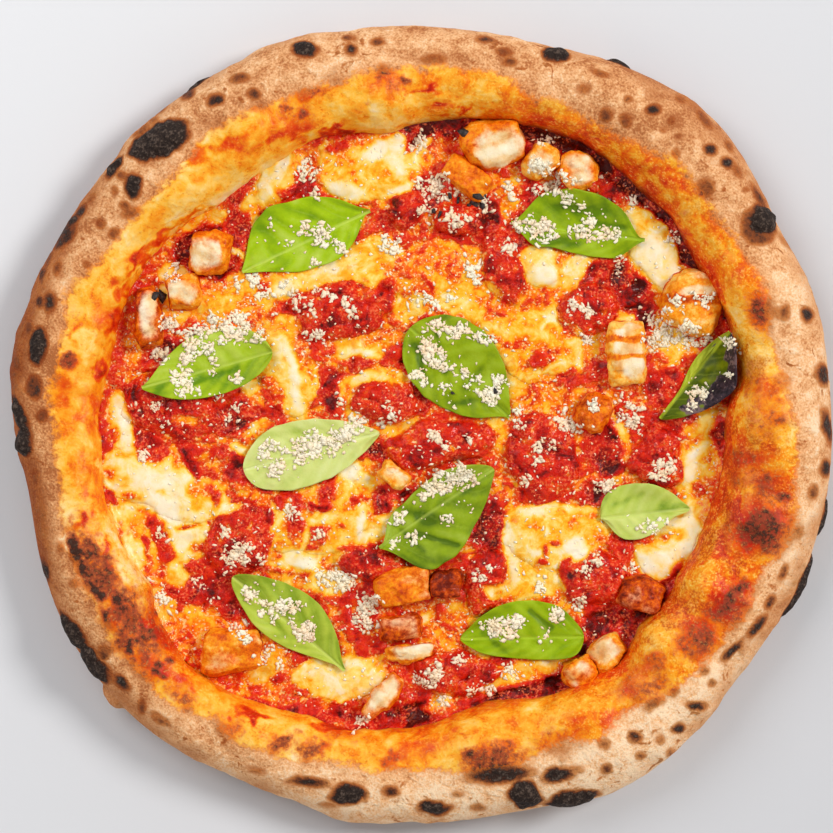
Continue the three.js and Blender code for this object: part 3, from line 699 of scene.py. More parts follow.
# Blisters: middle, half length, half width, turn, rise and how dark, up to charred at 1.
BLISTERS = [
    (-96, 106, 11.0, 6.5, 24, 2.6, 1), (-113, 97, 3.8, 2.4, 60, 1.6, 1), (-106, 90, 3.4, 2.8, 90, 1.6, 1),
    (-141, 29, 5.0, 3.0, 80, 1.8, 1), (-149, 4, 6.5, 3.0, 115, 2.2, 1), (-147, -6, 4.8, 4.2, 90, 2.8, 1),
    (-129, -77, 7.5, 4.0, -50, 2.4, 1), (-121, -89, 8.0, 4.0, -55, 2.4, 1),
    (-113.5, -101.5, 6.4, 3.8, -8, 2.6, 0.22), (-26, -137, 5.4, 3.6, 0, 1.4, 1),
    (6, -143, 4.6, 2.6, 0, 1.4, 1), (40, -138, 6.6, 4.8, -40, 2.4, 1), (58, -139.5, 8.4, 5.0, 8, 2.6, 1),
    (142.5, -61, 12.5, 3.6, 58, 2.4, 1), (151.5, -34, 7.0, 2.6, 80, 1.6, 1), (129, 76, 5.6, 5.2, 0, 3.0, 1),
    (51, 138, 4.4, 3.4, 0, 2.2, 1), (75, 135.5, 4.5, 2.4, -25, 1.6, 1), (-42, 140, 3.8, 2.6, -20, 1.4, 1),
    (-82, 127.5, 4.2, 2.2, 35, 1.5, 1),
]


def swelling_at(x, y):
    """How far the dough has swollen at places of the plan."""
    total = 0
    for cx, cy, radius, rise in SWELLINGS:
        total = total + rise * np.exp(-2 * ((x - cx) ** 2 + (y - cy) ** 2) / radius**2)
    return total


def bend(value, power):
    """A value raised to a power, with its sign kept."""
    return np.sign(value) * np.abs(value) ** power


SECTORS = 1200
OUTER_STEPS = 48
INNER_STEPS = 44
BASE_RINGS = 9
FLOOR_RINGS = (0.7, 0.3)  # of the way out to the foot of the wall


def crust_grid():
    """The rim's section all the way round: a grid of points with a row for each place on the section."""
    degrees = np.arange(SECTORS) * 360 / SECTORS
    reach = around(RIM_REACH, degrees)
    well = around(WELL_REACH, degrees)
    crest = around(CREST_HEIGHT, degrees)
    middle, half, belly = (reach + well) / 2, (reach - well) / 2, crest * BELLY_SHARE
    radians = np.radians(degrees)
    rows = []
    for step in range(OUTER_STEPS + 1):
        turn = -math.pi / 2 + math.pi * step / OUTER_STEPS
        rise = belly if math.sin(turn) < 0 else crest - belly
        rows.append((middle + half * bend(math.cos(turn), OUTER_ROUND), belly + rise * math.sin(turn)))
    for step in range(1, INNER_STEPS + 1):
        turn = math.pi / 2 * step / INNER_STEPS
        up, inwards = bend(math.cos(turn), INNER_ROUND), bend(math.sin(turn), INNER_ROUND)
        rows.append((middle - half * inwards, DOUGH_FLOOR + (crest - DOUGH_FLOOR) * up))
    radius = np.array([r for r, _ in rows])
    height = np.array([h for _, h in rows])
    push_r, push_h = radius - middle, height - belly
    length = np.hypot(push_r, push_h) + 1e-9
    x, y = radius * np.cos(radians), radius * np.sin(radians)
    free = height > belly / 2
    swell = np.where(free, swelling_at(x, y), 0)
    radius = radius + swell * push_r / length
    height = height + np.where(free, swell * push_h / length, 0)
    return degrees, radius, height


def grid_normals(points):
    """Outward normals of a grid that is joined round along its columns."""
    along = np.roll(points, -1, 1) - np.roll(points, 1, 1)
    up = np.gradient(points, axis=0)
    normal = np.cross(along, up)
    return normal / (np.linalg.norm(normal, axis=2, keepdims=True) + 1e-9)


degrees, radius, height = crust_grid()
radians = np.radians(degrees)
rim = np.stack([radius * np.cos(radians), radius * np.sin(radians), height], 2)
normals = grid_normals(rim)
well_at = around(WELL_REACH, degrees)

# The line that the melted cheese has reached on the rim: how far from the middle, by angle.
STAIN_LINE = [
    (0, 140), (15, 134), (21, 140), (30, 137), (35, 135), (45, 136), (55, 131.5), (60, 130.6), (70, 129),
    (75, 133), (80, 134), (90, 132.5), (97, 133), (103, 129.5), (110, 131), (115, 132), (122, 134),
    (127, 133), (133, 130), (138, 131), (145, 130), (150, 131), (155, 135), (160, 138), (165, 135),
    (170, 137), (175, 138.5), (180, 136), (190, 134.5), (195, 136), (200, 138), (210, 138), (215, 140),
    (220, 139), (225, 139.5), (230, 138), (235, 133), (240, 137), (248, 133), (257, 129), (265, 130),
    (272, 128), (280, 130), (287, 131), (295, 130), (300, 135), (308, 132), (315, 136), (322, 138.5),
    (330, 140), (338, 139), (345, 144), (352, 142), (356, 142),
]
# Spots with little height: middle, half length, half width, turn and how dark, from tan to charred at 1.
SPOTS = [
    (-106, 90, 2.6, 3.4, -20, 1), (-109, 81.5, 1.7, 1.5, 0, 0.62), (-118, 75, 1.5, 1.3, 0, 0.6),
    (-113, 71.5, 1.8, 1.7, 0, 0.66), (-110, 93, 1.4, 1.0, 0, 0.66), (-126, 80, 1.2, 2.8, -38, 0.8),
    (-129, 76.5, 1.4, 2.4, -38, 0.85), (-132, 71, 3.4, 7.0, -35, 0.74), (-122, 85, 0.9, 1.6, -30, 0.5),
    (-113, 87, 1.2, 1.6, 0, 0.45), (-107, 79, 3.4, 1.4, 20, 0.5), (-97, 118, 0.8, 2.0, -60, 0.6),
    (-103, 110, 1.0, 2.6, -50, 0.55), (-99, 99, 5.0, 2.4, 20, 0.35), (-137, 46, 2.2, 3.6, 0, 0.95),
    (-141, 46, 2.0, 2.4, 0, 0.8), (-143, 14, 3.0, 4.4, 10, 0.78), (-149, 22, 1.6, 2.6, 0, 0.6),
    (-127.2, -46, 2.6, 7.6, 14, 1), (-124.4, -53.5, 2.2, 6.0, 20, 1), (-121.4, -60.0, 2.0, 4.6, 42, 0.95),
    (-41, -133, 6.0, 1.6, -5, 0.95), (-10, -136, 3.0, 2.0, 0, 0.8), (52, -130, 6.0, 3.0, 10, 0.9),
    (30, -130, 12.0, 3.4, 4, 0.95), (153, -1, 1.8, 6.0, 15, 0.95), (152, -16, 2.2, 3.0, 0, 0.95),
    (151, 19, 2.8, 4.2, 10, 0.95), (145, 41, 2.4, 3.0, 10, 0.85), (108.5, 102.5, 2.4, 2.0, -20, 1),
    (115, 97.3, 2.2, 1.8, -20, 1), (107, 88, 3.4, 4.0, 20, 0.58), (87.5, 117.3, 2.4, 2.0, 0, 1),
    (70, 115.5, 2.3, 2.8, 0, 0.62), (77, 113.5, 2.4, 2.8, 30, 0.58), (96, 101, 1.3, 2.0, 0, 0.45),
    (96.5, 107, 1.4, 1.0, 0, 0.45), (67.5, 131, 2.6, 1.0, -20, 0.6), (62, 125, 3.0, 2.0, 0, 0.4),
    (88, 123, 6.0, 3.0, -35, 0.20), (96, 114, 6.0, 3.0, -35, 0.16), (107, 114, 1.4, 3.6, 40, 0.55),
    (98, 121.5, 1.6, 0.9, -40, 0.5), (94, 113.5, 1.3, 1.2, 0, 0.5), (91, 110, 1.2, 1.0, 0, 0.4),
    (78, 121, 1.0, 0.8, 0, 0.5), (116, 104, 1.0, 1.6, 30, 0.5), (118.5, 95, 1.4, 3.0, 30, 0.5),
    (122, 94, 1.6, 1.2, 0, 0.3), (127, 85, 1.3, 4.4, 32, 0.74), (122, 87.5, 1.2, 0.9, 0, 0.45),
    (127, 74, 7.6, 7.4, 0, 0.62), (137, 69, 1.6, 4.0, 35, 0.4), (-25, 139, 2.2, 2.0, 0, 0.9),
    (-26, 144, 1.6, 1.0, 0, 0.7), (-15, 143, 1.8, 1.0, 0, 0.7), (6, 136, 5.0, 2.0, 5, 0.55),
    (25, 144, 2.6, 1.2, 0, 0.7), (32, 139, 2.8, 1.6, -15, 0.66), (34, 135, 2.2, 1.3, 0, 0.66),
    (-75, 121, 3.0, 2.2, 15, 1), (-61, 123, 2.4, 2.0, 0, 0.72), (-66, 129, 3.4, 1.6, 10, 0.62),
    (-130, 24, 3.0, 3.4, 0, 0.7), (-140, 4, 1.8, 2.2, 0, 0.7), (127, 42, 3.0, 6.4, 15, 0.66),
    (136, 42, 2.4, 2.6, 0, 0.62), (128, -38, 7.6, 7.0, 0, 0.74), (136, -27, 2.6, 2.0, 0, 0.7),
    (115, -66, 3.0, 6.4, -35, 0.76), (120, -61, 1.8, 3.0, -35, 0.95), (126, -75, 1.8, 4.6, -40, 1),
    (117, -84, 1.6, 4.2, -42, 0.9), (103, -104, 3.0, 1.4, 0, 0.9), (97, -113, 2.0, 1.6, 0, 0.9),
    (81, -116, 2.4, 2.2, 0, 0.74), (70, -128, 2.2, 2.0, 0, 0.7), (88, -103, 4.2, 1.8, 30, 0.66),
    (69, -118, 2.2, 2.0, 0, 0.6), (58, -128, 3.0, 1.6, 0, 0.5), (109, -96, 1.6, 1.3, 0, 0.6),
    (106, -91, 1.5, 1.2, 0, 0.6), (131, -66, 1.4, 2.4, -30, 0.7), (136, -55, 1.4, 2.6, -30, 0.7),
    (142, -40, 1.4, 2.6, 0, 0.5), (147, -25, 1.6, 2.6, 0, 0.6), (110, -81, 2.0, 1.4, 0, 0.5),
    (95, -99, 1.6, 1.4, 0, 0.6), (83, -123, 1.6, 1.4, 0, 0.6), (90, -117, 1.4, 1.2, 0, 0.5),
    (94, -122, 1.6, 1.2, 0, 0.5), (-86, 124, 2.6, 1.8, 40, 0.78), (-99, 114, 1.8, 1.4, 0, 0.5),
    (-143, -20, 1.8, 4.0, 0, 0.5), (-140, -34, 1.8, 3.4, 0, 0.4), (-133, -46, 1.6, 2.4, 0, 0.35),
    (-128, -59, 2.4, 2.2, 0, 0.38), (-139.5, -54, 1.6, 4.6, 15, 0.85), (-110.5, -96, 3.4, 1.6, -40, 0.85),
    (-103, -105, 1.2, 2.4, 0, 0.66), (-117, -92, 2.4, 5.0, 35, 0.62), (-96, -110, 4.0, 1.6, -35, 0.5),
    (-60, -128, 3.0, 1.4, -20, 0.4), (-33, -142, 3.0, 1.2, 0, 0.4), (22, -143, 2.4, 1.4, 0, 0.5),
    (15, -137, 2.0, 1.4, 0, 0.4), (-145, 36, 1.8, 3.0, 0, 0.6), (-134, 58, 1.8, 2.4, 0, 0.6),
    (-140, 56, 1.4, 3.0, -10, 0.7), (-138, 62, 1.2, 4.0, -20, 0.6), (-123, 60, 1.4, 1.4, 0, 0.5),
    (-12, 131, 3.0, 2.0, 0, 0.66), (-5, 128, 1.8, 1.2, 0, 0.6), (-39, 123.5, 4.0, 1.0, 8, 0.56),
    (-42.5, 115.5, 1.6, 1.2, 30, 0.72), (-49, 117.5, 2.0, 1.0, 0, 0.56), (-118, -63, 2.8, 2.6, 0, 0.95),
    (-116, -53, 1.5, 1.8, 0, 0.8), (-112, -65, 2.6, 2.6, 0, 0.82), (-109.5, -68, 3.0, 2.4, 0, 0.74),
    (-116, -71.5, 0.9, 3.0, 28, 0.8), (-107, -82, 1.3, 3.0, -10, 0.88), (-103.5, -79.5, 3.4, 1.0, 20, 0.7),
    (-97, -89.5, 1.3, 1.0, 0, 0.8), (-97.5, -92, 1.8, 1.0, -30, 0.88), (-93, -88, 1.1, 0.8, 0, 0.66),
    (-95, -93.4, 1.2, 0.8, -30, 0.74), (-106, -87, 1.0, 1.6, 0, 0.6),
]
# Toasted patches: middle, half length, half width, turn and strength.
TOASTS = [
    (-118, -56, 11, 7, -65, 0.86), (-106, -72, 14, 9, -50, 0.84), (-99, -88, 9, 7, -40, 0.56),
    (-124, -40, 5, 9, 10, 0.5), (-111, -67, 7, 5, -55, 0.9), (-11, 129, 8, 6, 0, 0.42),
    (-44, 115, 8, 4, 10, 0.34), (-88, 108, 6, 5, 20, 0.26), (-30, 128, 6, 4, 0, 0.32),
    (-40, -121, 7, 4.4, 10, 0.68), (-8, -124, 5, 3.6, 0, 0.62), (4, -122, 3, 2.4, 0, 0.4),
    (28, -124, 13, 7, 8, 0.74), (129, 3, 9, 9, 0, 0.42), (131, -22, 8, 6, 40, 0.56),
    (124, -12, 12, 4, 10, 0.44), (133, 14, 8, 4, 60, 0.40), (128, -38, 13, 12, 0, 0.74),
    (103, -80, 9, 8, 30, 0.70), (116, -67, 7, 11, -38, 0.66), (127, 42, 6, 10, 15, 0.5),
    (134, -20, 5, 5, 0, 0.36), (120, -20, 7, 4, 0, 0.3), (84, -98, 10, 7, 30, 0.50),
    (52, -118, 10, 6, 0, 0.46), (124, 20, 5, 6, 0, 0.26), (96, 84, 10, 4, -50, 0.2),
    (-70, -113, 8, 5, -20, 0.36), (-88, -100, 8, 5, -35, 0.4), (-24, -118, 6, 4, 0, 0.26),
    (22, 113, 12, 3, -8, 0.22), (107, 105, 26, 7, -47, 0.16), (88, -88, 6, 5, 0, 0.40),
    (120, -84, 6, 4, 40, 0.26), (136, 15, 4, 5, 0, 0.28), (-76, 112, 7, 4, 10, 0.24),
    (-50, -118, 6, 4.4, 0, 0.62), (-33, -117, 5, 4, 0, 0.34), (-104, -78, 15, 10, -50, 0.60),
    (-122, -50, 5, 12, 15, 0.74), (-116, -84, 4, 3, 0, 0.62), (126, 14, 7, 4, 0, 0.40),
    (118, -10, 5, 4, 0, 0.34), (126, -18, 9, 5, 0, 0.36), (84, -92, 7, 5, 0, 0.36),
    (-60, 118, 6, 3, 0, 0.28), (-40, 123, 7, 3.4, 5, 0.46), (-46, 116, 8, 5, 10, 0.36),
    (-116, -103, 3.4, 3.0, -20, 0.40), (-128, 40, 4, 6, 0, 0.26), (-126, 12, 4, 6, 0, 0.2),
    (-20, 118, 6, 3, 0, 0.2),
]


def ellipse_depth(x, y, cx, cy, long, wide, turn):
    """How far a place lies inside an ellipse, in about millimetres, and below 0 outside it."""
    t = math.radians(turn)
    u = (x - cx) * math.cos(t) + (y - cy) * math.sin(t)
    v = -(x - cx) * math.sin(t) + (y - cy) * math.cos(t)
    return (1 - np.hypot(u / long, v / wide)) * min(long, wide)


rim_x, rim_y, rim_z = rim[..., 0], rim[..., 1], rim[..., 2]
facing_up = normals[..., 2] > -0.15


def rim_rough(size, seed, octaves=2):
    """Noise at every point of the rim."""
    return rough(rim_x, rim_y, rim_z, size, seed, octaves)


# Relief: broad lumps, then smaller ones, and more of them where the dough is wet.
plan_radius = np.hypot(rim_x, rim_y)
reach_at = around(RIM_REACH, degrees)
stain = at_angles(STAIN_LINE, degrees) - plan_radius
stain = np.where(facing_up, stain, -30.0)
wet = smooth_step(-3, 3, stain)
low_down = smooth_step(2.0, 7.0, rim_z)
relief = rim_rough(16, 11) + 0.45 * rim_rough(6, 21)
relief = relief + wet * (0.45 * rim_rough(8.0, 31) + 0.18 * rim_rough(3.0, 35))

# How browned the dough is: the outer edge most, and all of its side that faces away from the camera.
EDGE_BROWN = [
    (0, 0.18), (30, 0.18), (45, 0.24), (60, 0.16), (75, 0.10), (100, 0.09), (130, 0.14), (145, 0.24),
    (165, 0.42), (190, 0.44), (205, 0.32), (225, 0.26), (245, 0.18), (270, 0.14), (300, 0.12), (330, 0.24),
    (345, 0.24),
]
EDGE_WIDTH = 13
TOAST_DARKEST = 0.62
SPOT_DARKEST = 0.86
edge_share = smooth_step(reach_at - EDGE_WIDTH, reach_at, plan_radius)
brown = at_angles(EDGE_BROWN, degrees) * edge_share + 0.10 * rim_rough(9, 61) * edge_share
below = smooth_step(0.05, -0.50, normals[..., 2])
brown = brown + below * (0.16 + 0.16 * rim_rough(12, 65, 3))
brown = np.maximum(brown, smooth_step(0.62, 1.0, rim_rough(9, 71)) * below)

# The edges of all marks wander by this much.
warp_x = 1.3 * rim_rough(4, 41)
warp_y = 1.3 * rim_rough(4, 45)

patchy = np.clip(0.85 + 0.35 * rim_rough(4, 85), 0, 1.15)
for cx, cy, long, wide, turn, strength in TOASTS:
    depth = ellipse_depth(rim_x + 1.6 * warp_x, rim_y + 1.6 * warp_y, cx, cy, long, wide, turn)
    spread_out = smooth_step(-0.55, 0.75, depth / min(long, wide))
    toasted = np.minimum(strength * patchy * spread_out, TOAST_DARKEST)
    brown = np.maximum(brown, np.where(facing_up, toasted, 0))
relief = relief + 0.6 * smooth_step(0.25, 0.6, brown) * rim_rough(4, 81) * wet

for cx, cy, long, wide, turn, dark in SPOTS:
    depth = ellipse_depth(rim_x + warp_x * 0.5, rim_y + warp_y * 0.5, cx, cy, long, wide, turn)
    shade = min(dark, SPOT_DARKEST) * smooth_step(-1.9, min(1.8, 0.8 * min(long, wide)), depth)
    brown = np.maximum(brown, np.where(facing_up, shade, 0))
    relief = relief + 0.35 * smooth_step(-0.5, 1.5, depth) * dark * facing_up
relief = relief * low_down

NEVER = 1e9  # further than any place
crag = 1 + 0.20 * rim_rough(3.4, 51)
for cx, cy, long, wide, turn, rise, dark in BLISTERS:
    bearing = math.degrees(math.atan2(cy, cx))
    away = (rim_x - cx) ** 2 + (rim_y - cy) ** 2
    # one at the very edge sits on the rim's side, and any other on its top
    if math.hypot(cx, cy) > float(around(RIM_REACH, bearing)) - 1.0:
        away = away + (rim_z - float(around(CREST_HEIGHT, bearing)) * BELLY_SHARE) ** 2
    else:
        away = np.where(normals[..., 2] > 0.05, away, NEVER)
    i, j = np.unravel_index(np.argmin(away), away.shape)
    point, normal = rim[i, j], Vector(normals[i, j])
    turned = Vector((0, 0, 1)).rotation_difference(normal)
    t = math.radians(turn)
    first = np.array(turned @ Vector((math.cos(t), math.sin(t), 0)))
    second = np.array(turned @ Vector((-math.sin(t), math.cos(t), 0)))
    offset = rim - point
    u, v, w = offset @ first, offset @ second, offset @ np.array(normal)
    near = np.abs(w) < 8
    share = np.hypot((u + warp_x * 0.9) / long, (v + warp_y * 0.9) / wide)
    bump = rise * np.sqrt(np.clip(1 - share**2, 0, 1)) * crag
    relief = np.where(near, np.maximum(relief, relief * 0.4 + bump), relief)
    shade = dark * smooth_step(-2.6, 0.8, (1 - share) * min(long, wide))
    brown = np.where(near, np.maximum(brown, shade), brown)

# How cheesy the wet part is, by angle, with smears of tomato on it.
CREAM_BY_ANGLE = [
    (0, 0.58), (12, 0.66), (25, 0.62), (35, 0.54), (45, 0.50), (60, 0.53), (75, 0.54), (88, 0.56),
    (97, 0.62), (110, 0.48), (120, 0.62), (132, 0.76), (145, 0.64), (158, 0.54), (168, 0.55), (180, 0.60),
    (192, 0.62), (202, 0.74), (215, 0.68), (225, 0.56), (235, 0.56), (245, 0.68), (255, 0.60), (265, 0.56),
    (280, 0.56), (290, 0.60), (300, 0.57), (315, 0.56), (325, 0.54), (338, 0.48), (350, 0.54),
]
# Smears: middle, half length, half width, turn and level.
SMEARS = [
    (-84.5, 82.5, 14, 4, 45, 0.72), (-3, 119, 15, 3.6, 0, 0.66), (-104, 62, 14, 1.6, 48, 0.28),
    (-112, 44, 12, 1.5, 70, 0.30), (-96, 70, 9, 1.4, 40, 0.30), (-85, 77, 8, 1.2, 25, 0.34),
    (-118, 20, 1.6, 4, 0, 0.30), (-127, 36, 1.6, 4, -10, 0.36), (-118, -2, 7, 1.8, 100, 0.34),
    (-112, -24, 5, 1.6, 110, 0.4), (2, 124, 7, 1.2, 0, 0.26), (8, 118, 5, 1.0, 10, 0.28),
    (16, 117, 4, 1.0, 8, 0.26), (-50, 108, 10, 2.4, 20, 0.34), (-32, 108, 8, 3.4, 10, 0.25),
    (112, 66, 8, 1.8, -55, 0.44), (106, 76, 7, 1.4, -50, 0.42), (-12, 114, 8, 4, 0, 0.80),
    (118, -30, 2, 7, 0, 0.32), (114, -44, 2, 6, 20, 0.34), (-90, -94, 9, 2, -35, 0.34),
    (-109, -50, 10, 4, -68, 0.86), (-114, -38, 6, 3, -75, 0.80), (-111.5, -41, 1.2, 4, 0, 0.3),
    (-124, -36, 2, 3, 0, 0.34), (-99, -76, 3, 5, 40, 0.36), (-116, -14, 5, 3, 80, 0.80),
    (-124, 30, 3, 8, 5, 0.72), (-62, -108, 8, 2.0, -15, 0.26), (-30, -112, 9, 2.0, 0, 0.26),
    (76, -108, 8, 2.4, 30, 0.46), (-117, -46, 6, 1.6, 105, 0.34), (112, -64, 5, 2.4, 40, 0.36),
    (14, -112, 10, 1.8, 5, 0.5), (-82, 100, 6, 3, 20, 0.42), (-70, 104, 7, 3, 20, 0.36),
    (92, 92, 8, 2, -45, 0.38), (80, 100, 6, 2, -40, 0.38), (60, 108, 8, 1.4, -30, 0.36),
]
# How much redder the foot of the wall is, by angle.
FOOT_RED = [
    (0, 0.20), (20, 0.22), (45, 0.20), (72, 0.10), (85, -0.10), (110, -0.08), (130, -0.16), (150, -0.08),
    (170, 0.04), (190, 0.10), (300, 0.14), (345, 0.08),
]
at_foot = smooth_step(7, 0, plan_radius - well_at) * (rim_z < 20)
cheese_rim = at_angles(CREAM_BY_ANGLE, degrees) + 0.12 * rim_rough(12, 91)
cheese_rim = cheese_rim - at_angles(FOOT_RED, degrees) * at_foot
# Outwards the wet part pales to yellow, but it stays orange at the upper right.
PALE_EDGE = [
    (0, 0.04), (20, 0.0), (35, -0.05), (75, -0.04), (95, 0.03), (115, 0.10), (240, 0.10), (300, 0.06),
    (340, 0.04),
]
cheese_rim = cheese_rim + at_angles(PALE_EDGE, degrees) * smooth_step(8, 0, stain) * wet
for cx, cy, long, wide, turn, level in SMEARS:
    depth = ellipse_depth(rim_x + warp_x * 2.2, rim_y + warp_y * 2.2, cx, cy, long, wide, turn)
    cheese_rim = cheese_rim + (level - cheese_rim) * smooth_step(-0.7, 0.9, depth)

# Painted shade: the foot of the wall is painted dark as deep shade, most of all at the upper right.
CAVE_SHADE_BY_ANGLE = [
    (0, 0.5), (12, 0.6), (25, 0.8), (45, 0.95), (65, 1.0), (78, 0.9), (88, 0.35), (96, 0.03), (120, 0.02),
    (150, 0.10), (200, 0.05), (240, 0.2), (270, 0.4), (300, 0.35), (315, 0.55), (330, 0.3), (345, 0.4),
]
low_wall = smooth_step(16.0, 8.5, rim_z + 1.5 * rim_rough(7, 97)) * (plan_radius < well_at + 9)
cave = low_wall * facing_up * at_angles(CAVE_SHADE_BY_ANGLE, degrees)

rim = rim + normals * relief[..., None]
rim[..., 2] = np.maximum(rim[..., 2], 0.0)
rim[0, :, 2] = 0.0

rings = [rim[0] * np.array([k / BASE_RINGS, k / BASE_RINGS, 0]) for k in range(1, BASE_RINGS)]
floor_rings = [
    np.stack([rim[-1, :, 0] * s, rim[-1, :, 1] * s, np.full(SECTORS, DOUGH_FLOOR)], 1) for s in FLOOR_RINGS
]
grid = np.concatenate([np.array(rings), rim, np.array(floor_rings)], 0)
rows = len(grid)
points = np.concatenate([grid.reshape(-1, 3), [[0, 0, 0], [0, 0, DOUGH_FLOOR]]])
faces = grid_faces(rows, SECTORS, wrap=True).tolist()
low, high = len(points) - 2, len(points) - 1
top_row = (rows - 1) * SECTORS
for j in range(SECTORS):
    k = (j + 1) % SECTORS
    faces.append([low, k, j])
    faces.append([top_row + j, top_row + k, high])


def spread(values, under, inside):
    """A rim attribute carried over the underside and the floor of the well."""
    lower = np.full((BASE_RINGS - 1, SECTORS), under)
    upper = np.full((len(floor_rings), SECTORS), inside)
    return np.concatenate([lower, values, upper]).ravel().tolist() + [under, inside]


base_xy = np.array(rings)
base_brown = 0.30 + 0.30 * rough(base_xy[..., 0], base_xy[..., 1], 0, 18, 95, 4)
all_brown = spread(brown, 0.3, 0.0)
all_brown[: base_brown.size] = base_brown.ravel().tolist()
# How floury the dough is, with painted light and shade in it: whitest at the lower right and darkest at the
# left.
FLOUR_AND_LIGHT_BY_ANGLE = [
    (0, 0.55), (20, 0.56), (32, 0.44), (45, 0.38), (60, 0.40), (75, 0.43), (90, 0.46), (105, 0.45),
    (135, 0.46), (150, 0.38), (175, 0.31), (200, 0.35), (240, 0.52), (270, 0.60), (300, 0.70), (330, 0.55),
]
# How crumbly the wet part is: smooth at the left, where cheese has run over it.
CRUMBLY_BY_ANGLE = [
    (0, 1.0), (30, 0.75), (60, 0.8), (100, 0.4), (130, 0.25), (190, 0.25), (202, 0.8), (220, 0.9),
    (235, 0.35), (290, 0.4), (315, 0.9), (335, 1.1),
]


def by_angle(table):
    """A table's values at the rim's points, carried over the rest of the crust."""
    return spread(np.broadcast_to(at_angles(table, degrees), rim_x.shape), 0.5, 0.5)


crust_attributes = {
    "flour": by_angle(FLOUR_AND_LIGHT_BY_ANGLE),
    "crumbly": by_angle(CRUMBLY_BY_ANGLE),
    "stain": spread(stain, -30.0, 10.0),
    "cheese": spread(cheese_rim, 0.5, 0.4),
    "cave": spread(cave, 0.0, 0.8),
    "brown": all_brown,
}
make_piece("crust_baked", points, faces, crust_material(), crust_attributes, ["crust"])

# ---------------------------------------------------------------- tomato and cheese

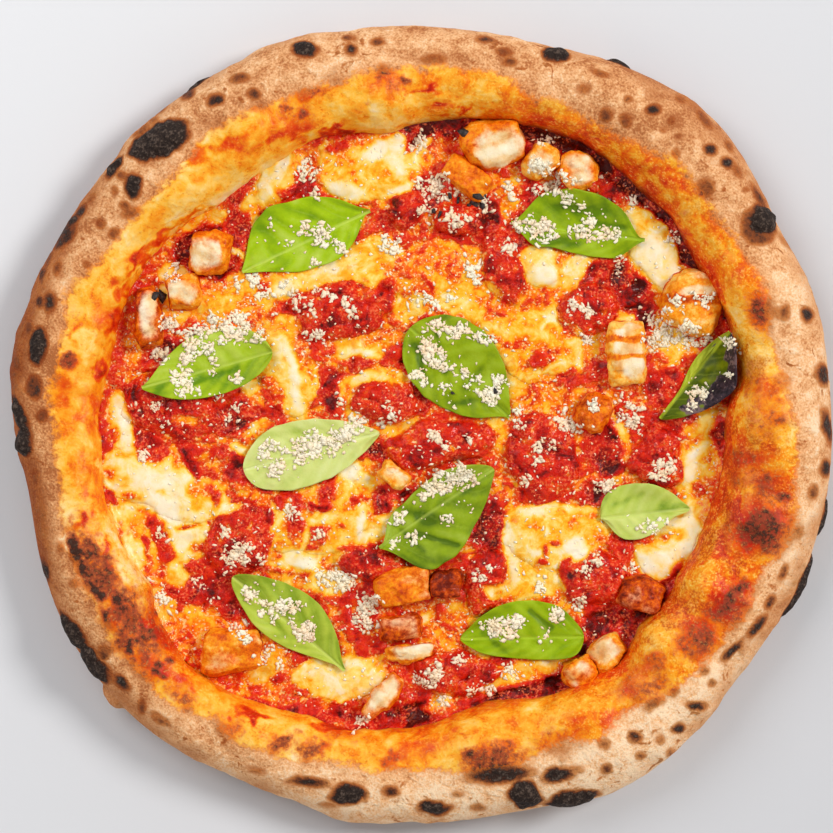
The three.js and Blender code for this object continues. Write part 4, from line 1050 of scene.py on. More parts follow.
# Places where tomato or cheese shows, painted over each other in this order: middle, half length,
# half width, turn and the level, from dark tomato at 0 to cream at 1.
MELTS = [
    # upper left
    (-66, 76, 5, 7, 0, 0.12), (-78, 65, 14, 11, 0, 0.10), (-62, 52, 14, 6, 10, 0.70),
    (-85, 47, 20, 8, 0, 0.62), (-97, 28, 8, 6, 0, 0.10), (-25, 60, 10, 10, 0, 0.74),
    (-37, 56, 17, 4, 15, 0.82), (-42, 88, 6, 5, 30, 0.20), (-26, 112, 8, 5, 0, 0.22),
    (-100, 56, 8, 4, 50, 0.30), (-92, 57, 5, 4, 0, 0.78), (-106, 30, 4, 8, 0, 0.56),
    (-84, 80, 9, 5, 30, 0.56), (-60, 74, 2.5, 6, 10, 0.80), (-50, 88, 8, 3, 45, 0.30),
    # top
    # The dark strip at (12, 112) is painted shade along the wall.
    (-2, 111, 9, 5, 0, 0.16), (12, 112, 18, 4, 0, 0.06), (0, 103, 5, 6, 20, 0.82), (6, 92, 12, 6, 0, 0.18),
    (35, 87, 7, 7, 0, 0.58), (38, 106, 12, 5, -15, 0.18), (50, 104, 9, 4, -20, 0.20),
    (68, 92, 6, 8, 0, 0.34), (74, 88, 8, 5, -40, 0.20), (80, 82, 6, 5, -40, 0.44),
    (-10, 72, 14, 6, 0, 0.32), (8, 71, 14, 4, 0, 0.36), (-14, 60, 8, 12, 0, 0.74),
    (3, 58, 17, 10, 20, 0.70), (4, 57, 8, 6, 0, 0.46), (20, 59, 5, 10, 0, 0.64), (22, 72, 8, 5, 0, 0.30),
    (30, 72, 5, 6, 0, 0.34), (37, 55, 4, 8, 10, 0.50), (46, 60, 9, 8, 0, 0.88), (55, 57, 4, 6, 0, 0.60),
    (60, 58, 8, 6, 40, 0.80), (70, 53, 9, 9, 0, 0.12), (79, 46, 7, 11, -20, 0.10), (5, 47, 25, 6, 0, 0.78),
    (7, 43, 4, 1.5, -10, 0.24), (45, 47, 10, 4, 0, 0.50), (88, 66, 19, 8, -62, 0.92),
    (42, 31, 20, 12, -12, 0.60), (47, 24, 6, 4, 20, 0.28), (30, 40, 12, 4, -15, 0.70),
    (-12, 47, 8, 4, 0, 0.72), (62, 30, 6, 8, 0, 0.68), (45, 68, 16, 3, -8, 0.20), (58, 69, 16, 3, -8, 0.30),
    # left
    (-96, -23, 24, 11, -12, 0.95), (-108, -14, 9, 8, 0, 0.80), (-104, -13, 10, 2.5, 5, 0.22),
    (-76, -14, 13, 6, 10, 0.30), (-68, -18, 5, 4, 0, 0.14), (-96, -43, 10, 2.4, -62, 0.24),
    (-101, -45, 12, 1.6, -78, 0.52), (-108, -38, 6, 14, 20, 0.76), (-87, -42, 9, 9, 0, 0.86),
    (-72, -30, 5, 4, 0, 0.86), (-85, -62, 10, 9, 0, 0.18), (-78, -56, 8, 6, 0, 0.20),
    (-97, -68, 8, 6, -40, 0.66), (-84, -72, 6, 4, -60, 0.56), (-70, -66, 6, 8, 0, 0.16),
    (-55, 10, 9, 9, 0, 0.42), (-57, 6, 5, 4, 0, 0.18), (-68, 2, 9, 7, 20, 0.18), (-66, -2, 9, 2, 25, 0.80),
    (-112, 4, 5, 10, 0, 0.66), (-62, 14, 5, 3, 0, 0.70),
    # centre
    (-48, 26, 10, 20, 0, 0.74), (-46, 44, 6, 4, 0, 0.70), (-40, 38, 5, 7, 0, 0.46),
    (-38, 22, 4, 8, 0, 0.28), (-31, 14, 7, 8, 20, 0.18), (-25, 31, 14, 6, 0, 0.60),
    # The dark patch at (1, 10) is a painted shadow beside a basil leaf.
    (-21, 22, 10, 4, 0, 0.24), (-18, 16.5, 13, 3, 5, 0.78), (-24, 8, 4, 6, 0, 0.66), (1, 10, 6, 6, 0, 0.10),
    (-30, -14, 8, 5, 10, 0.58), (-22, -9, 8, 5, 20, 0.38), (-18, -25, 8, 7, 0, 0.55),
    (-23, -38, 8, 8, 0, 0.64), (-12, -36, 6, 5, 0, 0.80), (30, 1, 4, 13, 0, 0.56),
    (-14, -28, 4, 4, 0, 0.16), (-38, -35, 20, 13, 15, 0.74), (-35, -26, 6, 6, 0, 0.30),
    (-48, -33, 5, 7, 0, 0.24), (-38, -42, 4, 5, 0, 0.28), (-50, -24, 12, 3, 10, 0.62),
    (-43, -49, 12, 4, 0, 0.84), (-27, -45, 8, 5, 30, 0.70), (-32, -58, 10, 5, 0, 0.78),
    (-52, -52, 8, 4, -20, 0.20), (-20, -62, 7, 4, 0, 0.20), (-24, -72, 5, 9, 0, 0.30),
    # right
    (30, 13, 12, 5, 10, 0.66), (55, 14, 9, 7, 0, 0.56), (34, 18, 8, 4, 0, 0.76), (60, 18, 10, 4, 0, 0.30),
    (66, 20, 8, 5, -20, 0.24), (70, -6, 9, 11, 0, 0.14), (72, -14, 5, 5, 0, 0.08),
    (75, 2, 2.6, 11, 20, 0.80), (80, 8, 6, 9, 0, 0.40), (86, 2, 6, 5, 0, 0.24), (92, 18, 6, 12, -10, 0.18),
    (98, 1, 7, 5, 0, 0.22), (104, -5, 5, 7, 0, 0.50), (109, 1, 2.6, 5, 20, 0.80), (113, -4, 3, 6, 0, 0.06),
    (104, -15, 4.6, 11, -32, 0.94), (110, -16, 5, 7, 0, 0.62), (80, -29, 12, 5, 0, 0.12),
    (66, -27, 7, 4, 0, 0.26), (94, -46, 13, 11, 55, 0.92), (106, -36, 5, 8, 0, 0.72),
    (84, -44, 5, 6, 20, 0.34), (98, -30, 6, 4, 0, 0.66), (78, 42, 4, 6, 0, 0.66), (93, 31, 8, 11, 0, 0.72),
    (108, 60, 6, 4, -50, 0.66), (86, 40, 3, 8, 0, 0.14), (90, 24, 5, 4, 0, 0.36), (54, 0, 4, 6, 0, 0.50),
    (42, 6, 12, 4, 10, 0.52), (35, -18, 5, 8, 0, 0.50), (62, -22, 6, 5, 0, 0.38),
    # bottom
    (26, -38, 6, 12, 0, 0.12), (53, -42, 19, 13, 0, 0.92), (55, -39, 9, 8, 0, 0.74),
    (50, -49, 3, 3, 0, 0.44), (73, -36, 8, 6, 0, 0.86), (38, -50, 5, 8, 0, 0.84), (38, -60, 9, 6, 0, 0.78),
    (47, -60, 10, 5, 0, 0.84), (80, -47, 6, 5, 0, 0.24), (92, -60, 7, 5, 0, 0.22),
    # The patch at (88, -71) is painted shade in a deep hollow.
    (88, -71, 7, 12, 10, 0.06), (74, -75, 14, 6, 0, 0.07), (70, -88, 17, 11, 10, 0.10),
    (6, -68, 7, 5, 0, 0.44), (10, -75, 9, 6, 20, 0.54), (2, -72, 6, 1.6, 50, 0.86),
    (-2, -67, 10, 4, 0, 0.40), (-18, -84, 5, 4, 0, 0.30), (-5, -95, 5, 5, 0, 0.34),
    (1, -103, 5, 4, 0, 0.20), (-2, -109, 9, 4, 0, 0.08), (12, -105, 8, 4, 15, 0.68),
    (24, -108, 9, 3, 10, 0.08), (36, -95, 9, 4, 10, 0.84), (44, -91, 12, 3, 12, 0.72),
    (34, -102, 12, 4, 15, 0.07), (52, -97, 8, 4, 20, 0.10), (-30, -95, 17, 8, 0, 0.86),
    (-58, -91, 8, 5, 40, 0.70), (-60, -105, 7, 3, -20, 0.22), (-47, -107, 4, 2.4, 0, 0.20),
    (-30, -108, 10, 3, 0, 0.14), (-75, -97, 10, 4, -20, 0.50), (-42, -98, 6, 4, 0, 0.44),
    (-16, -90, 4, 5, 0, 0.58), (-52, -100, 8, 3, 0, 0.50), (-88, -84, 5, 8, 30, 0.48),
    (-4, -50, 12, 4, 0, 0.24), (14, -50, 6, 5, 0, 0.40), (4, -57, 10, 3, 0, 0.42),
]
# The clumps of tomato and pools of cheese that have solids of their own keep their own level.
CLUMP_LEVELS = [0.20, 0.19, 0.24, 0.22, 0.20, 0.20, 0.20, 0.23, 0.20, 0.24, 0.15, 0.20, 0.22, 0.23, 0.20]
POOL_LEVELS = [0.74, 0.80, 0.88, 0.84, 0.47, 0.74, 0.73, 0.88, 0.66, 0.76, 0.86, 0.86]
# What lies on and beside the toppings, painted over them in this order.
TOUCHES = [
    # the pool at the top
    (-27, 106.5, 7, 3.6, 20, 0.46), (-33, 104, 2.4, 1.8, 0, 0.27), (-25, 110, 7, 3, 12, 0.22),
    (-7, 106.5, 4, 3.2, 10, 0.98), (-12, 107.5, 3, 1.6, -20, 0.38), (-2, 107, 2.6, 4, -30, 0.13),
    (2.5, 104, 1.6, 5, -35, 0.95), (3, 96, 2, 6, 5, 0.36), (3.5, 92.5, 1.6, 4, 0, 0.24),
    (-23.5, 93.5, 2.6, 1.8, 0, 0.53), (-28.5, 93.5, 1.4, 1, 0, 0.56), (-29, 99, 6, 3, 0, 0.60),
    (-33, 95, 4, 2, -30, 0.52), (-2.5, 93, 3, 2.2, 20, 0.66), (-18, 87, 5, 1.8, 0, 0.70),
    (-27, 88, 8, 3, -10, 0.97), (-15, 103, 8, 3, 40, 0.97), (-37.5, 93, 1.3, 6, 0, 0.46),
    (-57, 89, 3.0, 7, -25, 0.86), (-63, 84, 2.6, 5, -35, 0.84), (-71, 69, 1.2, 4, 20, 0.78),
    (-68, 65, 4, 1.2, -35, 0.78), (-80, 83, 9, 2.6, 35, 0.60), (-46, 87, 6, 2.6, 15, 0.17),
    (-8, 98, 3, 6, 20, 0.90), (-19, 96, 3, 4, 0, 0.78), (-6, 89, 5, 1.6, 25, 0.98),
    (-51, 97, 5, 2, 60, 0.98),
    # the pool at the left
    (-101, -6, 7, 9, 15, 0.20), (-110, -2, 3, 11, 10, 0.95), (-118.5, -4, 1.4, 5, 0, 0.24),
    (-115, -3, 3, 3, 0, 0.50), (-116, -18, 3, 2.6, 0, 0.52), (-116, -26, 5, 1.4, -50, 0.26),
    (-107, -27, 4, 1.6, 0, 0.38), (-95, -31, 8, 5, -25, 1.0), (-92, -23, 9, 5, 0, 0.92),
    (-84, -27, 4, 5, 0, 0.62), (-78, -24, 4, 2.6, 0, 0.54), (-75.5, -28, 1.5, 4, 10, 0.19),
    (-71, -31.5, 4, 2.4, 20, 0.93), (-97, -41, 9, 3, -62, 0.24), (-102.4, -45, 9, 1.1, -84, 0.32),
    (-68, -38, 6, 4, 0, 0.31), (-106, -37, 3.4, 4, 0, 0.54), (-111.5, -40, 1.2, 4, 0, 0.34),
    (-107, -49, 4.4, 7, 20, 0.88), (-98, -55, 2.4, 6, 10, 0.52), (-87, -43, 4, 5, -20, 0.93),
    (-87, -38.5, 4, 0.9, 5, 0.50), (-82, -46, 2.8, 2, 10, 0.33), (-91, -56, 4, 5, 30, 0.80),
    (-79, -14, 5, 4, 0, 0.45), (-86, -14, 1.7, 8, 25, 0.17), (-91, -11, 2.6, 5, 25, 0.58),
    (-85, 2, 3.4, 2, 0, 0.70), (-68, -15, 3, 4, 0, 0.10), (-67, -9, 3.4, 1.6, -15, 0.90),
    (-69, 0, 4, 5.4, -35, 0.11), (-95, -4, 3, 2, 0, 0.50), (-96, -25, 2, 1, 0, 0.70),
    (-103, -20, 8, 3, -10, 0.97), (-110, -20, 2.4, 3, 0, 0.78), (-88, -31, 2, 4, 0, 0.86),
    # the cheese in the middle of the lower left
    (-34.5, -26, 3.2, 4.6, 0, 0.22), (-39.5, -26.5, 2, 2.4, 0, 0.62), (-40.5, -32, 1.5, 2, 0, 0.07),
    (-36, -31.5, 4, 1.2, 10, 0.20), (-48, -30, 6, 5, -20, 0.27), (-44, -37, 6, 2.8, -20, 0.29),
    (-52, -36, 1.4, 6, -30, 0.88), (-46, -42, 3.2, 4, 30, 0.44), (-37.5, -42, 6, 3, 48, 0.30),
    (-42, -43, 1.2, 5, -15, 0.84), (-35, -36, 6, 2.2, 10, 0.86), (-28, -37, 2.6, 6, -10, 0.68),
    (-28.5, -38, 1.8, 1, 0, 0.45), (-21, -37, 1.6, 7, 0, 0.96), (-16, -39, 3.4, 5, 0, 0.76),
    (-23, -28.6, 4, 1.6, 10, 0.27), (-17, -26, 3.6, 5, 20, 0.54), (-22, -21, 4, 2.6, 0, 0.84),
    (-25, -17, 5, 3, 45, 0.93), (-47, -51, 8, 3.4, 0, 0.86), (-42, -52.4, 4, 2.4, 0, 0.99),
    (-53, -50, 2.4, 2, 0, 0.58), (-33, -45.5, 8, 1.8, 28, 0.74), (-31, -49, 5, 1.8, 15, 0.54),
    (-34, -53, 2.8, 2.4, 0, 0.28), (-16, -50, 9, 5, 0, 0.21), (-10, -54, 5, 4, 0, 0.28),
    (-17, -9, 4, 2.6, -45, 0.04), (-13, -13, 1.4, 5, 10, 0.10), (-13, -28, 3, 5, 0, 0.10),
    (-5, -26, 3.4, 2, 20, 0.05), (-57, -24, 3, 2, 0, 0.08),
    # the cheese at the lower right
    (34.5, -44, 1.8, 12, 0, 0.92), (46, -38, 6, 6, 0, 0.66), (44, -33, 7, 1.8, 0, 0.94),
    (36, -35, 2, 2, 0, 0.60), (48.5, -40, 0.9, 2.4, 0, 0.96), (43.5, -39, 1.4, 4, 0, 0.60),
    (40, -45, 3, 4, 0, 0.74), (52.5, -44, 2.2, 1.3, 0, 0.38), (44, -47.5, 2.6, 1.4, 0, 0.93),
    (48, -47.2, 1.2, 1.8, 0, 0.25), (45, -52, 6, 1.6, 10, 0.55), (46.5, -51, 1.6, 1.2, 0, 0.33),
    (53, -47.5, 2.4, 1.4, 0, 0.92), (60, -46, 4.6, 4.6, 0, 1.0), (66, -42, 3.4, 6, 0, 0.72),
    (58, -34, 7, 1.6, -5, 0.74), (66, -34.5, 5, 1.6, -10, 0.60), (56, -38, 3, 3, 0, 0.72),
    (38, -60, 4, 2.2, 20, 0.76), (45, -58, 6, 2.4, -10, 0.76), (42, -62, 6, 2.4, 0, 0.66),
    (36, -55, 1.6, 4, 0, 0.92), (29, -62.5, 3.8, 3.4, 0, 0.98), (30, -64, 1.6, 1.4, 0, 0.60),
    (28, -54, 4, 7, 0, 0.25), (27, -43, 3.6, 5, 0, 0.10), (97, -45, 5, 9, -40, 0.93),
    (86, -52, 5, 3.4, -30, 0.95), (102, -36, 2.4, 7, 0, 0.95), (92, -43, 2.6, 2, 0, 0.50),
    (97, -41, 2.6, 1.8, 0, 0.62), (76, -44, 6, 3, -10, 0.20), (84, -43.5, 4.6, 1.8, 20, 0.33),
    (96, -57, 2, 6, -35, 0.10), (79, -59, 3, 1.8, 20, 0.08), (58, -56.5, 1.8, 1.8, 0, 0.06),
    (66, -25, 4, 4, 0, 0.06), (55, -25, 3, 2, 0, 0.20), (40, -26, 5, 3, 0, 0.26), (75, -52, 4, 3, 0, 0.28),
    (50, -8, 5, 4, 0, 0.12), (-75, -41, 3, 3, 0, 0.34),
    # the cheese at the upper right
    (41, 35, 14, 1.5, -14, 0.80), (36, 30, 12, 1.2, -16, 0.50), (48, 29, 10, 1.2, -10, 0.46),
    (46, 24, 5, 3.4, 20, 0.27), (60, 27, 2, 7, 0, 0.82), (31, 43, 9, 1.8, -25, 0.52),
    (27, 51, 5, 2, -40, 0.60), (57, 35, 3, 3, 0, 0.44), (44, 50, 6, 2.4, 0, 0.38), (43, 62, 3, 4, 0, 0.80),
    (48, 56, 4, 3, 0, 0.96), (36, 62, 2, 4, 0, 0.46), (54, 62, 1.6, 6, -10, 0.40),
    (61, 60, 3, 5, -20, 0.86), (84, 77, 4, 3, -60, 0.74), (84, 72, 2.4, 3, -40, 0.68),
    (88, 66, 3, 6, 20, 0.97), (97, 57, 4, 3, -30, 0.93), (92, 61, 3, 3, 0, 0.86),
    (103, 57, 4, 1.6, -30, 0.60), (30, 95, 5, 1.8, -20, 0.34), (27, 80, 3.6, 5, 0, 0.08),
    (24, 88, 1.6, 5, -30, 0.06), (34, 86, 4, 3.4, -30, 0.54), (27, 77, 4, 6, 0, 0.10),
    (40, 78, 6, 3, 20, 0.17), (42, 88, 3, 5, 0, 0.19), (6, 84, 3, 4, 0, 0.12), (15, 88, 5, 2, 0, 0.30),
    (75.5, 57, 2.2, 4.6, -10, -0.10), (78, 49, 4.6, 5, 0, 0.10), (80, 43.6, 4.4, 1.2, 0, -0.06),
    (84, 43, 5, 2, 0, 0.08), (118, 41, 1.6, 4, 0, 0.03), (116, 48, 2, 6, 10, 0.14), (36, 70, 3, 3, 0, 0.22),
    # the cheese at the left of the middle
    (-48, 34, 4, 6, 0, 0.58), (-40, 31, 5, 4, -20, 0.38), (-44, 26, 3, 6, 10, 0.50),
    (-51, 16, 3, 7, 0, 0.80), (-46, 12, 2, 8, 15, 0.96), (-55, 10, 5, 5, 0, 0.40), (-52, 28, 3, 5, 0, 0.86),
    (-47, 22, 1.6, 8, 20, 0.97), (-57, 15, 3, 4, 0, 0.46), (-53, 5, 4, 2.4, -30, 0.16),
    (-28, 27, 8, 2, 20, 0.84), (-20, 27, 6, 1.6, -10, 0.90), (-23, 31, 5, 1.6, 0, 0.60),
    (-22, 18, 5, 2.4, 25, 0.92), (-10, 19, 6, 2, -25, 0.74), (-28, 12, 1.4, 6, -15, 0.60),
    (-33, 12, 3, 6, 0, 0.12), (-5, 42, 4, 5, 0, 0.64), (0, 45, 3, 4, 0, 0.80), (-38, 27, 8, 5, -20, 0.38),
    (-11, 51, 5, 4, 0, 0.20), (-47, 46, 4, 4, 0, 0.20), (-52, 44, 3.4, 2.6, 10, 0.22),
    (-55, 41, 2.4, 2.4, 0, 0.30), (-62, 46, 7, 4, 0, 0.62), (-50, 51, 5, 3, 10, 0.92),
    (-58, 52, 3, 2.4, 0, 0.40),
]


def painted(level, x, y, patches, wander):
    """A level of cheese over tomato with patches laid on it in order, their edges wandering by some mm."""
    a = x + wander * rough(x, y, 0, 6, 101, 3)
    b = y + wander * rough(x, y, 0, 6, 105, 3)
    for cx, cy, long, wide, turn, value in patches:
        soft = min(1.6, 0.7 * min(long, wide))
        depth = ellipse_depth(a, b, cx, cy, long, wide, turn)
        level = level + (value - level) * smooth_step(-soft, soft, depth)
    return level


BED_STEP = 0.7
BED_REACH = 126
BED_TOP = 7.5
BED_FLOOR = 4.8
BED_EDGE = -2.2  # how far past the foot of the wall it runs into the dough
MARGIN = 4.0  # round a solid
POOL_SHARE = 0.70  # of a pool's height above the sauce that is kept, as its edge melts into it
CLUMP_SHARE = 0.85
POOL_SOFT = 2.0  # how far the edge of a pool, or of a clump, slopes
CLUMP_SOFT = 0.9
SUNK = 1.6  # how far the sauce under a topping lies below it
EDGE_SUNK = 0.35  # and a topping's hidden edge below the sauce
LIFTED = 0.05  # a topping over the sauce beside it
LAYER = 0.012  # between one topping and the next, so that no two surfaces coincide

span = np.arange(-BED_REACH, BED_REACH + BED_STEP, BED_STEP)
bed_x, bed_y = np.meshgrid(span, span)
bed_angle = np.degrees(np.arctan2(bed_y, bed_x))
from_wall = around(WELL_REACH, bed_angle) - np.hypot(bed_x, bed_y)


def corners_of(node):
    """A CAD node's lowest and highest corners, in millimetres of the plan."""
    return [np.array(c) / MM - np.array([*PLAN_SHIFT, 0]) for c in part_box(node)]


def cover_of(node, soft_mm):
    """Where a solid lies on the bed's grid: its share of each place, softened, and its softened top."""
    lowest, highest = corners_of(node)
    first = [max(0, int((value - MARGIN - span[0]) / BED_STEP)) for value in lowest[:2]]
    last = [int((value + MARGIN - span[0]) / BED_STEP) + 1 for value in highest[:2]]
    cut = slice(first[1], last[1]), slice(first[0], last[0])
    solid = height_at(node_tree(node), bed_x[cut].ravel(), bed_y[cut].ravel()).reshape(bed_x[cut].shape)
    here = ~np.isnan(solid)
    steps = int(2 * (soft_mm / BED_STEP) ** 2)
    cover = blurred(here.astype(float), steps)
    top = blurred(np.where(here, solid, 0.0), steps) / (cover + 1e-3)
    return cut, cover, top


# Painted shade: under the upper right of the wall the sauce is painted dark, where the wall's shade falls.
WALL_SHADE_BY_ANGLE = [
    (0, 0.1), (15, 0.6), (30, 1.0), (88, 1.0), (98, 0.4), (112, 0.0), (240, 0.0), (265, 0.6), (280, 0.4),
    (345, 0.1),
]
base_level = 0.44 + 0.22 * rough(bed_x, bed_y, 0, 9, 111, 2)
level_field = painted(base_level, bed_x, bed_y, MELTS, 1.8)
shaded = smooth_step(8.0, 2.5, from_wall) * at_angles(WALL_SHADE_BY_ANGLE, bed_angle)
level_field = level_field + (0.02 - level_field) * shaded

toppings = [(f"mozzarella_{i}", level, POOL_SOFT, POOL_SHARE) for i, level in enumerate(POOL_LEVELS, 1)]
toppings += [(f"tomato_{i}", level, CLUMP_SOFT, CLUMP_SHARE) for i, level in enumerate(CLUMP_LEVELS, 1)]
shares, tops = {}, {}
for node, level, soft_mm, kept in toppings:
    cut, cover, top = cover_of(node, soft_mm)
    ragged = rough(bed_x[cut], bed_y[cut], 0, 4.5, 321, 3)
    uneven = cover + 0.34 * ragged * smooth_step(0.0, 0.3, cover) * smooth_step(1.0, 0.75, cover)
    share = np.zeros(bed_x.shape)
    share[cut] = smooth_step(0.16, 0.84, uneven)
    shares[node] = share
    tops[node] = cut, top, kept
    level_field = level_field + (level - level_field) * smooth_step(0.25, 0.75, share) * 0.85
level_field = painted(level_field, bed_x, bed_y, TOUCHES, 1.1)

ripples = 0.7 * rough(bed_x, bed_y, 0, 7, 121, 3) + 0.3 * rough(bed_x, bed_y, 0, 2.6, 125, 2)
ground = BED_TOP + 0.9 + 1.3 * (level_field - 0.4) - 1.3 * smooth_step(0.15, 0.05, level_field)
ground = ground + ripples + 2.4 * np.exp(-np.clip(from_wall, 0, None) / 2.5)
surface = ground.copy()
for node, share in shares.items():
    cut, top, kept = tops[node]
    surface[cut] = surface[cut] + kept * np.maximum(top - ground[cut], 0.3) * share[cut]
CHICKEN_NODES = sorted(name for name in frame["nodes"] if name.startswith("chicken_"))
for node in CHICKEN_NODES:
    cut, cover, _ = cover_of(node, 2.0)
    surface[cut] = surface[cut] + 1.5 * cover
under_toppings = np.max(list(shares.values()), axis=0)


def sampled(field, x, y):
    """A field of the bed's grid, read at places between its points."""
    a, b = (np.asarray(x) - span[0]) / BED_STEP, (np.asarray(y) - span[0]) / BED_STEP
    i = np.clip(np.floor(a).astype(int), 0, len(span) - 2)
    j = np.clip(np.floor(b).astype(int), 0, len(span) - 2)
    s, t = np.clip(a - i, 0, 1), np.clip(b - j, 0, 1)
    low = field[j, i] * (1 - s) + field[j, i + 1] * s
    high = field[j + 1, i] * (1 - s) + field[j + 1, i + 1] * s
    return low * (1 - t) + high * t


def melt_at(x, y):
    """The melted surface at places of the plan: its height, and what its material asks for."""
    level = sampled(level_field, x, y)
    a = x + 1.2 * rough(x, y, 0, 5, 301, 2)
    b = y + 1.2 * rough(x, y, 0, 5, 305, 2)
    broad, own = lumps(a, b, 4.8, 311)
    small, small_own = lumps(a + 30, b, 2.4, 312)
    level = level - 0.04 * smooth_step(0.30, 0.45, level) * smooth_step(0.95, 0.75, level)
    mixed = 0.25 + 0.75 * smooth_step(0.92, 0.62, level)
    level = level + mixed * (0.07 * own + 0.05 * small_own) + 0.05 * rough(x, y, 0, 3.4, 317, 2)
    red = smooth_step(0.48, 0.32, level)
    flesh = red * (1.6 * np.sqrt(broad) + 0.9 * np.sqrt(small) - 1.3)
    folds = (1 - red) * (0.45 * rough(x, y, 0, 7, 331, 2) + 0.16 * rough(x, y, 0, 2.4, 335, 2))
    pulp = np.clip(0.65 * np.sqrt(broad) + 0.45 * np.sqrt(small), 0, 1)
    coarseness = smooth_step(-0.45, 0.10, own + 0.4 * rough(x, y, 0, 9, 315, 2))
    height = sampled(surface, x, y) + flesh + folds
    return height, {"cheese": level, "pulp": pulp, "coarseness": coarseness}


def raised_piece(name, x, y, z, faces, material, attributes, node, floor):
    """A height field over some of a grid's cells, closed by a skirt and a flat underside at floor."""
    used = np.unique(faces)
    lookup = np.full(x.size, -1)
    lookup[used] = np.arange(len(used))
    bm = bmesh.new()
    metres = to_metres(np.stack([x.ravel()[used], y.ravel()[used], z.ravel()[used]], 1))
    layers = [bm.verts.layers.float.new(key) for key in attributes]
    vertices = [bm.verts.new(p) for p in metres.tolist()]
    for layer, values in zip(layers, attributes.values()):
        for vertex, value in zip(vertices, values.ravel()[used].tolist()):
            vertex[layer] = value
    for face in lookup[faces].tolist():
        bm.faces.new([vertices[i] for i in face])
    bm.verts.ensure_lookup_table()
    edges = [e for e in bm.edges if e.is_boundary]
    result = bmesh.ops.extrude_edge_only(bm, edges=edges)
    lower = [g for g in result["geom"] if isinstance(g, bmesh.types.BMVert)]
    for vertex in lower:
        vertex.co.z = floor * MM
    bmesh.ops.holes_fill(bm, edges=[e for e in bm.edges if e.is_boundary], sides=0)
    bmesh.ops.recalc_face_normals(bm, faces=bm.faces)
    mesh = bpy.data.meshes.new(name)
    bm.to_mesh(mesh)
    bm.free()
    add_piece(name, mesh, material, [node])


def cell_faces(wanted):
    """The quads of a grid whose four corners are all wanted."""
    faces = grid_faces(*wanted.shape)
    return faces[wanted.ravel()[faces].all(1)]


bed_z, bed_values = melt_at(bed_x, bed_y)
bed_z = bed_z - SUNK * smooth_step(0.42, 0.80, under_toppings)
bed_faces = cell_faces(from_wall > BED_EDGE)
bed_melt = melt_material("sauce_and_cheese", 0.9, 0.12)
raised_piece(
    "sauce_bed", bed_x, bed_y, bed_z, bed_faces, bed_melt, bed_values, "tomato_sauce",
    BED_FLOOR,
)


def topping(order, name, node, step, material):
    """A topping: the melted surface over its solid, its edge run down below the sauce."""
    lowest, highest = corners_of(node)
    xs = np.arange(lowest[0] - MARGIN, highest[0] + MARGIN, step)
    ys = np.arange(lowest[1] - MARGIN, highest[1] + MARGIN, step)
    x, y = np.meshgrid(xs, ys)
    share = sampled(shares[node], x, y)
    z, values = melt_at(x, y)
    lift = LIFTED + LAYER * order
    z = z + lift - (lift + EDGE_SUNK) * smooth_step(0.36, 0.04, share)
    raised_piece(name, x, y, z, cell_faces(share > 0.03), material, values, node, BED_FLOOR + 1)


CLUMP_STEP = 0.5
POOL_STEP = 0.55
tomato_flesh = melt_material("crushed_tomato", 1.1, 0.15)
soft_cheese = melt_material("melted_mozzarella", 0.6, 0.12)
clumps, pools = len(CLUMP_LEVELS), len(POOL_LEVELS)
for i in range(1, clumps + 1):
    topping(i, f"tomato_clump_{i}", f"tomato_{i}", CLUMP_STEP, tomato_flesh)
for i in range(1, pools + 1):
    name, node = f"mozzarella_pool_{i}", f"mozzarella_{i}"
    topping(clumps + i, name, node, POOL_STEP, soft_cheese)

# ---------------------------------------------------------------- chicken

# Each piece: how much pale meat shows on it, and how light its breading is.
CHICKEN = [
    (0.95, 0.60), (0.05, 0.60), (0.85, 0.75), (0.60, 0.66), (0.80, 0.55), (0.80, 0.40), (0.85, 0.70),
    (0.80, 0.82), (1.15, 0.90), (0.70, 0.78), (0.10, 0.55), (0.00, 0.16), (0.12, 0.34), (0.90, 0.70),
    (0.70, 0.60), (0.16, 0.60), (0.05, 0.30), (0.95, 0.70), (0.75, 0.62), (0.05, 0.48),
]
# Browned stripes across two sliced pieces: the piece, the stripe's y, half width and how much darker.
STRIPES = [
    (8, 46.8, 1.5, 0.40), (8, 42.6, 2.4, 0.06), (8, 53.0, 1.0, 0.10), (9, 32.2, 1.2, 0.34),
    (9, 25.6, 0.9, 0.32),
]


def unit_sphere(level):
    """Points and triangles of a ball of radius 1."""
    bm = bmesh.new()
    bmesh.ops.create_icosphere(bm, subdivisions=level, radius=1)
    points = np.array([v.co for v in bm.verts])
    faces = np.array([[v.index for v in f.verts] for f in bm.faces])
    bm.free()
    return points, faces


BALL_DETAIL = 5
ball_points, ball_faces = unit_sphere(BALL_DETAIL)
CUT_FACES = [(0, 1), (0, -1), (1, 1), (1, -1), (2, 1)]  # axis and side: all but the underside
CUT_TAPER = 0.18  # how far a side face leans in towards the top
CUT_LEAN = 0.16  # and any face at random
CUT_DEPTHS = (0.80, 0.96)  # of the way out to the solid's reach
OVER_SOLID = 1.18  # how far past the solid a corner may stand, before the cuts


def solid_reach(tree, middle, rays):
    """How far rays from the middle of a solid go until they meet its surface, in shares of their length."""
    reach = np.full(len(rays), 0.5)
    for i, ray in enumerate(rays):
        hit = tree.ray_cast(Vector(middle), Vector(ray / np.linalg.norm(ray)))[0]
        if hit is not None:
            reach[i] = (hit - Vector(middle)).length / np.linalg.norm(ray)
    return reach


